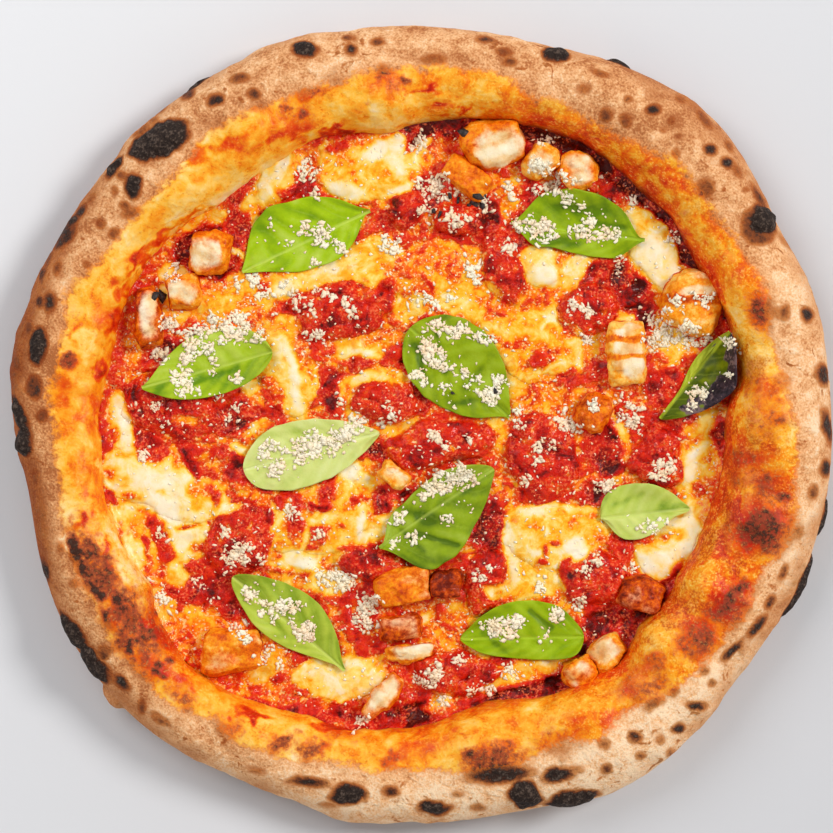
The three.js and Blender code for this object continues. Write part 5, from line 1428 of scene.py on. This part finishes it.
def cut_reach(number, rays, axes, half):
    """How far the same rays go until they meet the flat, slightly leaning faces that a chunk is cut with."""
    draw = np.random.default_rng(700 + number)
    lengths = np.linalg.norm(rays, axis=1)
    away = np.full(len(rays), 99.0)
    for axis, side in CUT_FACES:
        face = np.array([0, 0, 1.0]) if axis == 2 else np.array([*(axes[axis] * side), CUT_TAPER])
        face = face + draw.uniform(-CUT_LEAN, CUT_LEAN, 3)
        face = face / np.linalg.norm(face)
        distance = half[axis] * draw.uniform(*CUT_DEPTHS)
        away = np.minimum(away, distance / np.maximum(rays @ face / lengths, 0.05))
    return away / lengths


def softened(reach):
    """The reach of each point of the ball, averaged with its neighbours', so that cut edges are round."""
    for _ in range(2):
        sums, counts = np.zeros(len(reach)), np.zeros(len(reach))
        for a, b in ((0, 1), (1, 2), (2, 0)):
            for c, d in ((a, b), (b, a)):
                np.add.at(sums, ball_faces[:, c], reach[ball_faces[:, d]])
                np.add.at(counts, ball_faces[:, c], 1)
        reach = 0.5 * reach + 0.5 * sums / counts
    return reach


def chicken_piece(number, meat, tone, material):
    """Breading over the solid's form, cut like a chunk, with crumbs that stand out from it."""
    node = f"chicken_{number}"
    lowest, highest = corners_of(node)
    middle = (lowest + highest) / 2
    size = highest - lowest
    flat = np.array([v.co[:2] for v in frame["nodes"][node].data.vertices])
    _, _, axes = np.linalg.svd(flat - flat.mean(0), full_matrices=False)
    half = np.abs((flat / MM - np.array(PLAN_SHIFT) - middle[:2]) @ axes.T).max(0)
    rays = ball_points * size
    reach = solid_reach(node_tree(node), middle, rays) * OVER_SOLID
    reach = softened(np.minimum(reach, cut_reach(number, rays, axes, [*half, size[2] / 2])))
    points = middle + ball_points * size * reach[:, None]
    x, y, z = points.T
    # pale meat shows in the middle of the cut top, with streaks along the piece, and breading round it
    u, v = ((points[:, :2] - middle[:2]) @ axes.T).T
    fibre = rough(u * 0.35, v + number, z * 0.5, 3.4, 401 + number, 2)
    lean = np.random.default_rng(600 + number).uniform(-0.22, 0.22, 2)
    from_middle = (np.abs(u / half[0] - lean[0]) ** 3 + np.abs(v / half[1] - lean[1]) ** 3) ** (1 / 3)
    cut_top = smooth_step(1.0, 0.40, from_middle) * smooth_step(0.0, 0.5, ball_points[:, 2])
    shown = meat * (0.06 + 1.0 * cut_top) + 0.34 * rough(x, y, z, 6, 191 + number, 2)
    shown = shown - 0.6 * meat * smooth_step(0.10, 0.55, noise(u, 0.3 * v, number, 4.5, 430 + number))
    shown = shown * (meat > 0.03)
    breaded = np.full(len(points), tone)
    for piece_number, stripe_y, half_width, darker in STRIPES:
        if piece_number == number:
            off_line = np.abs(y - stripe_y + 0.9 * rough(x, y, 0, 6, 461, 2))
            striped = smooth_step(half_width + 0.6, half_width - 0.4, off_line)
            shown = shown * (1 - striped)
            breaded = breaded - darker * striped
    bare = smooth_step(0.4, 0.7, shown)
    crumb = (0.25 + 0.35 * (1 - bare)) * np.abs(rough(x, y, z, 2.6, 151 + number, 3))
    crumb = crumb + 1.2 * rough(x, y, z, 6, 171 + number, 2) + 0.25 * bare * fibre
    points = points + ball_points * crumb[:, None]
    points[:, 2] = np.maximum(points[:, 2], 5.5)
    above_sauce = points[:, 2] - sampled(surface, points[:, 0], points[:, 1])
    sauced = smooth_step(2.4, 0.2, above_sauce + 0.8 * rough(x, y, z, 3.5, 181 + number, 2))
    values = {"meat": shown, "tone": breaded, "fibre": 0.5 + 0.30 * fibre, "sauced": sauced}
    make_piece(f"chicken_bite_{number}", points, ball_faces, material, values, [node])


breading = chicken_material()
for i, (meat, tone) in enumerate(CHICKEN, 1):
    chicken_piece(i, meat, tone, breading)


def surface_tree(prefixes):
    """One tree for rays over the finished pieces whose names start so, in millimetres of the plan."""
    points, faces, base = [], [], 0
    for piece in bpy.data.objects:
        if piece.type != "MESH" or not piece.name.startswith(prefixes):
            continue
        mesh = piece.data
        places = np.empty(len(mesh.vertices) * 3, np.float32)
        mesh.vertices.foreach_get("co", places)
        points.append(places.reshape(-1, 3) / MM - np.array([*PLAN_SHIFT, 0]))
        faces.extend([[v + base for v in p.vertices] for p in mesh.polygons if len(p.vertices) <= 4])
        base += len(mesh.vertices)
    return BVHTree.FromPolygons(np.concatenate(points).tolist(), faces)


UNDER_LEAVES = ("crust_baked", "sauce_bed", "tomato_clump", "mozzarella_pool", "chicken_bite")

# ---------------------------------------------------------------- basil

# Each leaf: its stalk's end, its tip, and the reach of its left and right halves at even steps along it.
BASIL = [
    ((-18, 80.5), (-66, 57.5), (0, 9, 11.7, 10.6, 9.1, 5.6, 3), (4, 12, 15.2, 16.3, 18.3, 15.8, 5)),
    ((85, 69.3), (35, 76.1), (3, 9.6, 9.1, 8.4, 7.8, 9.4, 3), (0, 11.8, 14.7, 15.4, 15.5, 14.2, 2)),
    ((-54.7, 27.5), (-103.5, 14), (9, 10.2, 10.3, 10.2, 9.8, 8.5, 5), (16, 14.8, 14.4, 14, 12.1, 8.3, 2)),
    ((-3, 36.5), (34.3, 2.8), (17, 18.8, 17.7, 17.3, 15.4, 11.8, 6), (15, 16.5, 15.6, 15.1, 13.4, 10.5, 2)),
    ((-14.5, -3), (-65.5, -17), (5, 8.5, 10.6, 12, 13, 13.7, 16), (5.5, 8.9, 10.6, 12.5, 13.7, 14.1, 12)),
    ((-14.5, -46), (28.5, -16.5), (0, 8.9, 9.1, 10.3, 11, 10.2, 8), (4, 20.5, 19.5, 17.8, 14.1, 11, 6)),
    ((-27.5, -92), (-69.5, -57), (0, 3.5, 6.7, 8.7, 9.4, 8.3, 7), (3, 9.4, 12.3, 13.1, 12.1, 10.2, 8)),
    ((62.3, -79.5), (16, -80.3), (14, 10.7, 8.9, 8, 7.6, 7.2, 5), (10, 14, 14.3, 14.1, 13.4, 11.1, 6)),
    ((68.5, -35), (102, -31.4), (16, 13.7, 12.3, 11.5, 10.5, 8.5, 4), (2, 9.4, 9.9, 8.7, 6.4, 3.1, 3)),
    ((91, 2.4), (116.3, 34.8), (0, 0.7, 1.1, 2.8, 3.7, 3.5, 3), (6, 9.7, 12.2, 14.1, 14.6, 11.4, 8)),
]
# Each leaf's dark, fresh and pale greens, the dark for painted shade and the pale for veins and painted
# light, and how much lighter its left and right halves are, from their own colour and from painted light.
GREENS = [
    ((112, 150, 6), (162, 194, 12), (204, 222, 104), 0.0, 0.0),
    ((92, 124, 6), (148, 174, 8), (178, 206, 60), 0.0, -0.04),
    ((98, 138, 10), (160, 186, 26), (198, 214, 96), -0.05, 0.15),
    ((84, 112, 8), (144, 166, 12), (178, 202, 66), 0.0, 0.0),
    ((172, 190, 76), (208, 217, 124), (228, 234, 166), 0.0, 0.0),
    ((80, 108, 10), (140, 164, 22), (184, 202, 84), 0.06, -0.10),
    ((134, 158, 34), (180, 196, 66), (206, 214, 112), 0.08, -0.25),
    ((100, 130, 6), (146, 174, 4), (182, 206, 50), 0.0, 0.0),
    ((120, 150, 36), (180, 198, 80), (210, 220, 126), 0.10, 0.30),
    ((78, 94, 6), (154, 164, 12), (192, 204, 60), 0.36, -0.35),
]
# Creases pressed into the leaves: the leaf, from, to, half width and how deep, which also sets how dark their
# painted shade is.
CREASES = [
    (8, (42, -70), (50, -76), 1.0, 0.50), (8, (24, -78), (34, -86), 1.0, 0.22),
    (6, (0, -41), (15, -45), 0.9, 0.55), (6, (-6, -31), (4, -36), 2.4, 0.50),
    (6, (-8, -38), (2, -47), 1.2, 0.30), (6, (8, -30), (22, -22), 1.6, 0.18),
    (4, (3, 16), (-1, 30), 1.6, 0.40), (4, (10, 20), (7, 34), 1.2, 0.35),
    (4, (18, 14), (26, 24), 1.4, 0.25), (4, (14, 8), (24, 10), 1.2, 0.25),
    (3, (-84, 16), (-68, 21), 1.2, 0.35), (3, (-98, 12), (-90, 20), 1.4, 0.25),
    (9, (93, -31), (102, -31), 3.0, 0.30), (9, (74, -30), (84, -26), 1.2, 0.22),
    (2, (44, 70), (60, 68), 2.0, 0.35), (2, (52, 82), (70, 80), 1.6, 0.28),
    (2, (66, 76), (78, 74), 1.2, 0.30), (1, (-60, 76), (-50, 62), 2.2, 0.20),
    (1, (-40, 78), (-30, 76), 1.6, 0.22), (5, (-58, -4), (-40, -2), 1.4, 0.15),
    (7, (-60, -66), (-50, -78), 1.2, 0.30), (10, (96, 6), (110, 26), 1.2, 0.40),
    (7, (-46, -66), (-40, -80), 1.4, 0.20),
]
STALK_HALF = 0.7
LEAF_ROWS, LEAF_COLUMNS = 97, 47
VEIN_PAIRS = 6.5
SOLID_THICKNESS = 0.8
LEAF_THICKNESS = 0.45
LEAF_GAP = 0.25  # over what it lies on
LIFT_LIMIT = 2.2  # over its solid
CREASE_DEPTH = 0.9
WITHERED = 10  # the number of the leaf that is burnt dark


def creases_at(number, x, y):
    """How deep a leaf's own creases are at places of the plan, which also sets their painted shade."""
    creased = np.zeros(x.shape)
    for leaf, start, end, wide, deep in CREASES:
        if leaf == number:
            run = np.subtract(end, start)
            a, b = x - start[0], y - start[1]
            t = np.clip((a * run[0] + b * run[1]) / (run @ run), 0, 1)
            far = np.hypot(a - t * run[0], b - t * run[1]) + 0.5 * noise(x, y, number, 3, 231)
            creased = np.maximum(creased, deep * np.exp(-((far / wide) ** 2)))
    return creased


def sheet_faces(rows, columns):
    """The faces of a thin closed sheet: a grid of points on top, the same below, and a strip all round."""
    top = grid_faces(rows, columns)
    count = rows * columns
    loop = list(range(columns))
    loop += [i * columns + columns - 1 for i in range(1, rows)]
    loop += [(rows - 1) * columns + j for j in range(columns - 2, -1, -1)]
    loop += [i * columns for i in range(rows - 2, 0, -1)]
    sides = [[a, b, b + count, a + count] for a, b in zip(loop, loop[1:] + loop[:1])]
    return top[:, ::-1].tolist() + (top + count).tolist() + sides


def basil_leaf(number, stalk, tip, left, right, greens):
    """A leaf along its solid: its midrib from stalk to tip, and the reach of its left and right halves."""
    node = f"basil_{number}"
    dark, fresh, pale, light_left, light_right = greens
    stalk, tip = np.array(stalk, float), np.array(tip, float)
    along = tip - stalk
    length = np.linalg.norm(along)
    side = np.array([-along[1], along[0]]) / length
    share = (1 - np.cos(np.pi * np.linspace(0, 1, LEAF_ROWS))) / 2
    across = np.linspace(-1, 1, LEAF_COLUMNS)
    u, v = np.meshgrid(share, across, indexing="ij")
    ends = np.sqrt(np.clip(4 * u * (1 - u), 0, 1))
    edge = 1 + 0.035 * noise(u * 40, v * 0, number, 3.0, 201)

    def plan(u, v, shrink=1.0):
        reach = np.where(v > 0, between(left, u), between(right, u)) * np.sqrt(np.clip(4 * u * (1 - u), 0, 1))
        reach = np.maximum(reach, STALK_HALF) * edge * shrink
        return [stalk[k] + along[k] * u + side[k] * v * reach for k in (0, 1)]

    x, y = plan(u, v)
    near_x, near_y = plan(np.clip(u, 0.015, 0.985), v, 0.94)
    under = height_at(node_tree(node), near_x.ravel(), near_y.ravel(), up=True).reshape(x.shape)
    under = np.where(np.isnan(under), np.nanmean(under), under)
    under = blurred(under, 14)
    # it also lies clear of what the toppings have grown to
    clear = height_at(supports, x.ravel(), y.ravel(), 0.0).reshape(x.shape) + LEAF_GAP
    lifted = np.maximum(under, np.minimum(clear, under + LIFT_LIMIT))
    under = np.maximum(blurred(lifted, 16), np.minimum(clear, under + LIFT_LIMIT))
    under = blurred(under, 3)
    # veins run from the midrib forward to the edge, with the leaf puffed up between them
    wander = 0.30 * noise(x, y, number * 7, 9, 221)
    place = (u - 0.24 * np.abs(v) ** 1.3) * VEIN_PAIRS + 0.25 * (v > 0) + 0.05 * number + wander
    nearest = np.abs(place - np.round(place))
    width = length / VEIN_PAIRS
    strength = 0.55 + 0.45 * noise(x, y, number * 3, 12, 225)
    lateral = smooth_step(0.5, 0.12, nearest * width) * smooth_step(0.95, 0.6, np.abs(v))
    lateral = lateral * (0.35 + 0.65 * ends) * strength
    half_width = np.where(v > 0, between(left, u), between(right, u)) * ends
    rib = smooth_step(0.8, 0.25, np.abs(v) * half_width)
    puff = 0.5 - 0.5 * np.cos(np.clip(nearest * 2, 0, 1) * np.pi)
    puffed = 0.52 * puff * (1 - np.abs(v) ** 4) * smooth_step(0.0, 0.25, np.abs(v)) * ends * strength
    waves = 0.8 * rough(x, y, number, 12, 211, 2) * smooth_step(0.05, 0.8, np.abs(v))
    creased = creases_at(number, x, y)
    z = under + SOLID_THICKNESS + puffed + waves - 0.35 * rib - CREASE_DEPTH * creased
    sheets = [np.stack([x, y, height], 2).reshape(-1, 3) for height in (z, z - LEAF_THICKNESS)]
    vein = np.maximum(rib, 0.55 * lateral)
    # Painted light and shade: puffed and raised parts are painted lighter and creases darker, and each half
    # by its own amount.
    light = 0.45 + 0.16 * (puff - 0.5) * ends + 0.20 * waves - creased
    light = light + np.where(v > 0, light_left, light_right) * smooth_step(0, 0.12, np.abs(v))
    burn = np.zeros(x.shape)
    if number == WITHERED:
        ragged = rough(x, y, 0, 8, 241, 3)
        burn = smooth_step(0.20, 0.55, -v + 0.5 * ragged - 0.1) * smooth_step(0.08, 0.25, u) * 0.8
        burn = np.maximum(burn, 0.7 * smooth_step(0.5, 0.75, ragged) * (v < 0.5))
    values = {"vein": vein, "light": light, "burn": burn}
    both = {key: np.tile(value.ravel(), 2) for key, value in values.items()}
    skin = leaf_material(number, dark, fresh, pale)
    faces = sheet_faces(LEAF_ROWS, LEAF_COLUMNS)
    make_piece(f"basil_leaf_{number}", np.concatenate(sheets), faces, skin, both, [node])


supports = surface_tree(UNDER_LEAVES)
for i, (row, greens) in enumerate(zip(BASIL, GREENS), 1):
    basil_leaf(i, *row, greens)

# ---------------------------------------------------------------- grated parmesan

# Drifts of it: middle, half length, half width, turn and count.
DRIFTS = [
    # on the leaves
    (-36, 71, 10, 3.6, -33, 120), (-39.5, 60.5, 1.6, 1.6, 0, 10), (-54, 75, 1.2, 0.8, 0, 4),
    (44, 73.5, 8, 4.2, -12, 150), (62, 71.5, 7, 2.6, -15, 60), (71, 71.5, 5, 1.7, 5, 40),
    (54, 86, 2.4, 3.8, 20, 45), (63, 80, 4.4, 1.7, -55, 28), (-82, 31, 7, 6, 0, 150),
    (-72, 37.5, 10, 4, 5, 150), (-87, 23, 2.6, 4.4, 10, 45), (-90, 15.5, 4, 4.4, 0, 80),
    (-85, 15, 3, 2, 20, 24), (-69, 17, 3, 1.3, 20, 24), (-77.5, 22, 1.3, 2.4, -20, 14),
    (-66, 33, 7, 4, 0, 80), (5, 37.5, 4, 2, 0, 34), (14, 35, 6, 2.6, -15, 60), (24, 33, 3, 2, 0, 34),
    (3.5, 30.5, 4, 3.8, 0, 70), (8, 25, 3.6, 4, 0, 60), (0, 17, 3.4, 3, 0, 44), (12, 22, 3, 1.6, 0, 14),
    (20, 18, 4, 3, -40, 34), (30, 15.5, 3, 3, 0, 46), (26.5, 11, 5, 2.6, 10, 56), (8, 13.5, 3, 2, 0, 12),
    (-57, -9, 3, 2.6, 0, 42), (-53, -16, 4.4, 2, 20, 46), (-47, -8, 4, 2.6, 20, 34),
    (-38, -7, 6, 4, 10, 110), (-30, -4.5, 7.5, 3.6, 25, 140), (-22, 0, 3, 1.8, 0, 26),
    (-43, -12.5, 5, 2, 20, 36), (12, -20, 8.5, 4.2, 22, 160), (3.5, -25, 4, 3, 30, 60),
    (20, -20, 4.4, 1.6, 25, 26), (-7, -36, 1.8, 2.6, 0, 26), (12.5, -36, 2, 2, 0, 18),
    (-2, -42.5, 2, 1.3, 0, 14), (-7, -45, 2, 1.6, 0, 12), (-64, -64, 3, 2.4, -20, 40),
    (-58, -69, 3, 1.6, -40, 18), (-49, -70, 5.4, 3.8, -60, 84), (-41.5, -78, 5, 3, -20, 90),
    (-54, -72, 2, 2, 0, 16), (28, -75, 4.4, 4.2, -20, 90), (36.5, -75, 4, 3.4, 40, 80),
    (53, -72, 4, 1.8, -30, 42), (48, -80, 1.5, 1, 0, 10), (87, -38, 2.6, 1.5, 10, 24),
    (93, -36, 1.4, 1, 0, 8), (117, 32, 2.2, 3.2, -40, 36), (105, 12, 4.4, 2, 10, 48),
    (103, 7.5, 2, 1.5, 0, 16), (116, 20, 1, 2, 0, 10),
    # on the other toppings
    (90, 36, 5, 8, 0, 130), (101, 34, 9, 4, -20, 120), (96, 45, 4, 3, 0, 36), (106, 47, 4, 3, 0, 30),
    (57, 0, 5, 4, -20, 80), (66, 6, 3, 3, 0, 26), (80, 6, 5, 8, 0, 80), (90, -16.5, 6.5, 3, 10, 70),
    (70, -22, 4, 2.4, 0, 44), (42, -20, 3, 2, 0, 20), (8, 89, 8, 5, -20, 110), (3, 80, 2, 4, 20, 26),
    (13, 77, 6, 4, 0, 46), (26, 84, 4, 2, 20, 26), (35, 87, 5, 5, 0, 26), (-8, 68, 8, 4, 0, 46),
    (20.5, 58, 3, 6, 0, 50), (33, 68, 4, 4, 0, 30), (50, 107, 3, 2, 0, 16), (47, 96, 6, 4, -20, 70),
    (54, 91, 4, 3, 0, 34), (0, 104, 3, 4, 0, 34), (-41, 96, 3, 4.4, 0, 46), (-38, 88, 4, 3, 0, 20),
    (-92, 57, 4, 3, 0, 30), (-92, 38.5, 4.4, 3, 10, 60), (-97, 27.5, 3.4, 3, 0, 50),
    (-60, 52, 10, 5, 0, 70), (-42, 47, 12, 4, 10, 40), (-39, 33, 4, 3, 0, 34), (-96, -66, 4, 3, -30, 34),
    (-68, -48.5, 5, 4, 0, 90), (-60, -50, 2, 2, 0, 10), (-55, -88, 4, 4, 40, 30), (-66, -78, 4, 3, -30, 34),
    (-32, -57.5, 8, 4.4, -5, 120), (-21, -72, 4, 9, -15, 110), (-18, -66, 3, 3, 0, 30),
    (-48, -32, 3, 3, 0, 26), (-36, -42, 3, 2, 0, 12), (4, -95, 5, 4, 0, 80), (22, -100, 6, 2, 10, 30),
    (33, -92, 3, 4, 0, 30), (8, -104, 2, 2, 0, 16), (-22, -112, 3, 3, 0, 30), (60, -66, 3, 2, 0, 26),
    (45, -62, 4, 2, 0, 20), (78, -54, 3, 3, 0, 14), (95, 70, 2, 3, 0, 22), (80, 84, 3, 2, 0, 12),
    (-103, -11, 6, 2, 10, 26), (-96, -43, 3, 2, -60, 14), (-84, -59, 1.2, 1.2, 0, 8), (-28, 5, 6, 4, 0, 26),
    (10, 47, 14, 3, 0, 40), (-10, 2, 8, 4, 0, 30), (10, -6, 12, 4, 0, 50), (60, 42, 6, 5, 0, 40),
    (45, 88, 4, 3, 0, 24), (76, 60, 3, 4, 0, 20), (66, 30, 3, 5, 0, 20), (-70, 8, 8, 5, 0, 30),
    (-100, 4, 6, 6, 0, 26), (38, 2, 5, 4, 0, 24), (46, -12, 8, 10, 0, 40), (24, -54, 4, 8, 0, 26),
    (66, -56, 8, 6, 0, 40), (-66, -42, 8, 6, 0, 34), (-32, 44, 12, 6, 0, 40), (10, -88, 8, 3, 0, 26),
]
SCATTERED = 2400  # crumbs between the drifts
COUNT_A_HEAP = 9  # one heap for so much of a drift's count
SHREDS_A_COUNT = 1.3
SHRED_ROUGH = 0.38  # how uneven a shred's corners are
SHRED_LIMITS = [(1.0, 2.1), (0.7, 1.3), (0.25, 0.5)]  # of its length, width and height, times its size
SHRED_TILT = 0.25
FULL_TURN = 6.28
landing = surface_tree(UNDER_LEAVES + ("basil_leaf",))
crumb_points, crumb_faces = unit_sphere(1)
rng = np.random.default_rng(7)


def shreds(name, spots, material):
    """Small uneven shreds that lie where rays straight down find something to lie on, and take up its oil."""
    points, faces, oiled = [], [], []
    for x, y, size, lift in spots:
        hit, normal, _, _ = landing.ray_cast(Vector((x, y, ABOVE)), Vector((0, 0, -1)))
        if hit is None or normal.z < 0.1:
            continue
        if lift is None:  # crumbs of their own lie on the sauce and cheese
            if hit.z > sampled(surface, x, y) + 1.5:
                continue
            lift = 0.0
        shape = crumb_points * (1 + SHRED_ROUGH * rng.standard_normal((len(crumb_points), 1)))
        shape = shape * size * np.array([rng.uniform(*limits) for limits in SHRED_LIMITS])
        turn = Matrix.Rotation(rng.uniform(0, FULL_TURN), 3, "Z")
        shape = shape @ np.array(turn @ Matrix.Rotation(rng.uniform(-SHRED_TILT, SHRED_TILT), 3, "X")).T
        faces.extend((crumb_faces + len(points) * len(crumb_points)).tolist())
        points.append(shape + np.array([x, y, hit.z + size * 0.3 + lift]))
        on_sauce = float(hit.z < sampled(surface, x, y) + 2.0)
        red = float(smooth_step(0.62, 0.25, sampled(level_field, x, y)))
        share = on_sauce * red * (0.75 - 0.6 * min(1.0, size / 0.7)) * rng.uniform(0.5, 1.2)
        oiled.extend([share] * len(crumb_points))
    make_piece(name, np.concatenate(points), faces, material, {"oiled": oiled}, [])


spots = []
for cx, cy, long, wide, turn, count in DRIFTS:
    t = math.radians(turn)
    # a drift is made of heaps, so that what is under it shows between them
    heaps = []
    for _ in range(max(1, round(count / COUNT_A_HEAP))):
        angle, far = rng.uniform(0, 2 * math.pi), rng.uniform(0, 1) ** 0.6
        heaps.append((long * far * math.cos(angle), wide * far * math.sin(angle), far))
    for k in range(int(count * SHREDS_A_COUNT)):
        u, v, far = heaps[k % len(heaps)]
        reach = 1.05 if k % 8 else 2.0
        u, v = u + rng.normal(0, reach), v + rng.normal(0, reach)
        size = 0.28 + 0.50 * rng.uniform(0, 1) ** 1.6
        lift = rng.uniform(0, 0.3) * (1 - 0.6 * far) if count > 12 else 0.0
        x, y = cx + u * math.cos(t) - v * math.sin(t), cy + u * math.sin(t) + v * math.cos(t)
        spots.append((x, y, size, lift))
for _ in range(SCATTERED):
    angle, share = rng.uniform(0, 360), math.sqrt(rng.uniform(0, 0.96))
    radius = share * float(around(WELL_REACH, angle))
    x, y = radius * math.cos(math.radians(angle)), radius * math.sin(math.radians(angle))
    spots.append((x, y, 0.22 + 0.30 * rng.uniform() ** 2, None))
shreds("parmesan_shreds", spots, parmesan_material())

# Flakes burnt off the crust: place, size and how far above what lies there.
FLAKES = [
    (21, 83.5, 1.7, 0.3), (24, 82, 1.4, 0.3), (22, 85.5, 1.3, 0.2), (19, 82.5, 1.0, 0.2),
    (15, 84, 0.8, 0.2), (12, 86, 0.7, 0.2), (6, 80, 1.3, 0.2), (8, 79, 1.0, 0.2), (25, 86, 0.8, 0.1),
    (17.5, 109, 1.2, 0.2), (29, 12.5, 0.7, 0.6), (13, 12, 0.5, 0.3), (-96, 48, 1.7, 0.2),
    (-98.5, 47.5, 1.2, 0.2),
]
shreds("burnt_flakes", FLAKES, flake_material())

# ---------------------------------------------------------------- the table and the light

TABLE_HALF = 2.0
TABLE_GAP = 0.0005  # under the pizza, so that no two surfaces coincide
floor_mesh = bpy.data.meshes.new("table")
corners = [(a * TABLE_HALF, b * TABLE_HALF, 0) for a, b in ((-1, -1), (1, -1), (1, 1), (-1, 1))]
floor_mesh.from_pydata(corners, [], [(0, 1, 2, 3)])
floor_mesh.materials.append(floor_material())
floor = bpy.data.objects.new("table", floor_mesh)
bpy.context.scene.collection.objects.link(floor)
floor.location.z = -TABLE_GAP


def lamp(name, place, size, power, colour=(1, 1, 1)):
    """A round soft light that is turned towards the pizza."""
    data = bpy.data.lights.new(name, "AREA")
    data.shape = "DISK"
    data.size = size
    data.energy = power
    data.color = colour
    light = bpy.data.objects.new(name, data)
    light.location = place
    light.rotation_euler = (-Vector(place)).to_track_quat("-Z", "Y").to_euler()
    bpy.context.scene.collection.objects.link(light)


ROOM_COLOUR = (0.98, 0.99, 1.02, 1)


def studio_room(round_the_sides, above):
    """A room that is bright round the sides and dim above, so that wet tops keep their colour."""
    world = bpy.data.worlds.new("studio")
    bpy.context.scene.world = world
    world.use_nodes = True
    tree = world.node_tree
    direction = tree.nodes.new("ShaderNodeTexCoord")
    split = tree.nodes.new("ShaderNodeSeparateXYZ")
    dimmer = tree.nodes.new("ShaderNodeMapRange")
    dimmer.inputs["To Min"].default_value = round_the_sides
    dimmer.inputs["To Max"].default_value = above
    tree.nodes["Background"].inputs["Color"].default_value = ROOM_COLOUR
    tree.links.new(direction.outputs["Generated"], split.inputs[0])
    tree.links.new(split.outputs["Z"], dimmer.inputs["Value"])
    tree.links.new(dimmer.outputs["Result"], tree.nodes["Background"].inputs["Strength"])


lamp("key", (2.07, 0.84, 2.01), 1.0, 56.5, (1.0, 0.985, 0.96))
lamp("fill", (-0.9, 0.8, 1.2), 1.2, 12.4)
lamp("low_fill", (0.0, -1.3, 1.2), 1.2, 2.8, (1.0, 0.88, 0.70))
studio_room(0.75, 0.15)
bpy.context.scene.view_settings.view_transform = "Standard"
bpy.context.scene.view_settings.look = "None"
bpy.context.scene.view_settings.exposure = 0.0
bpy.context.scene.view_settings.gamma = 1.0
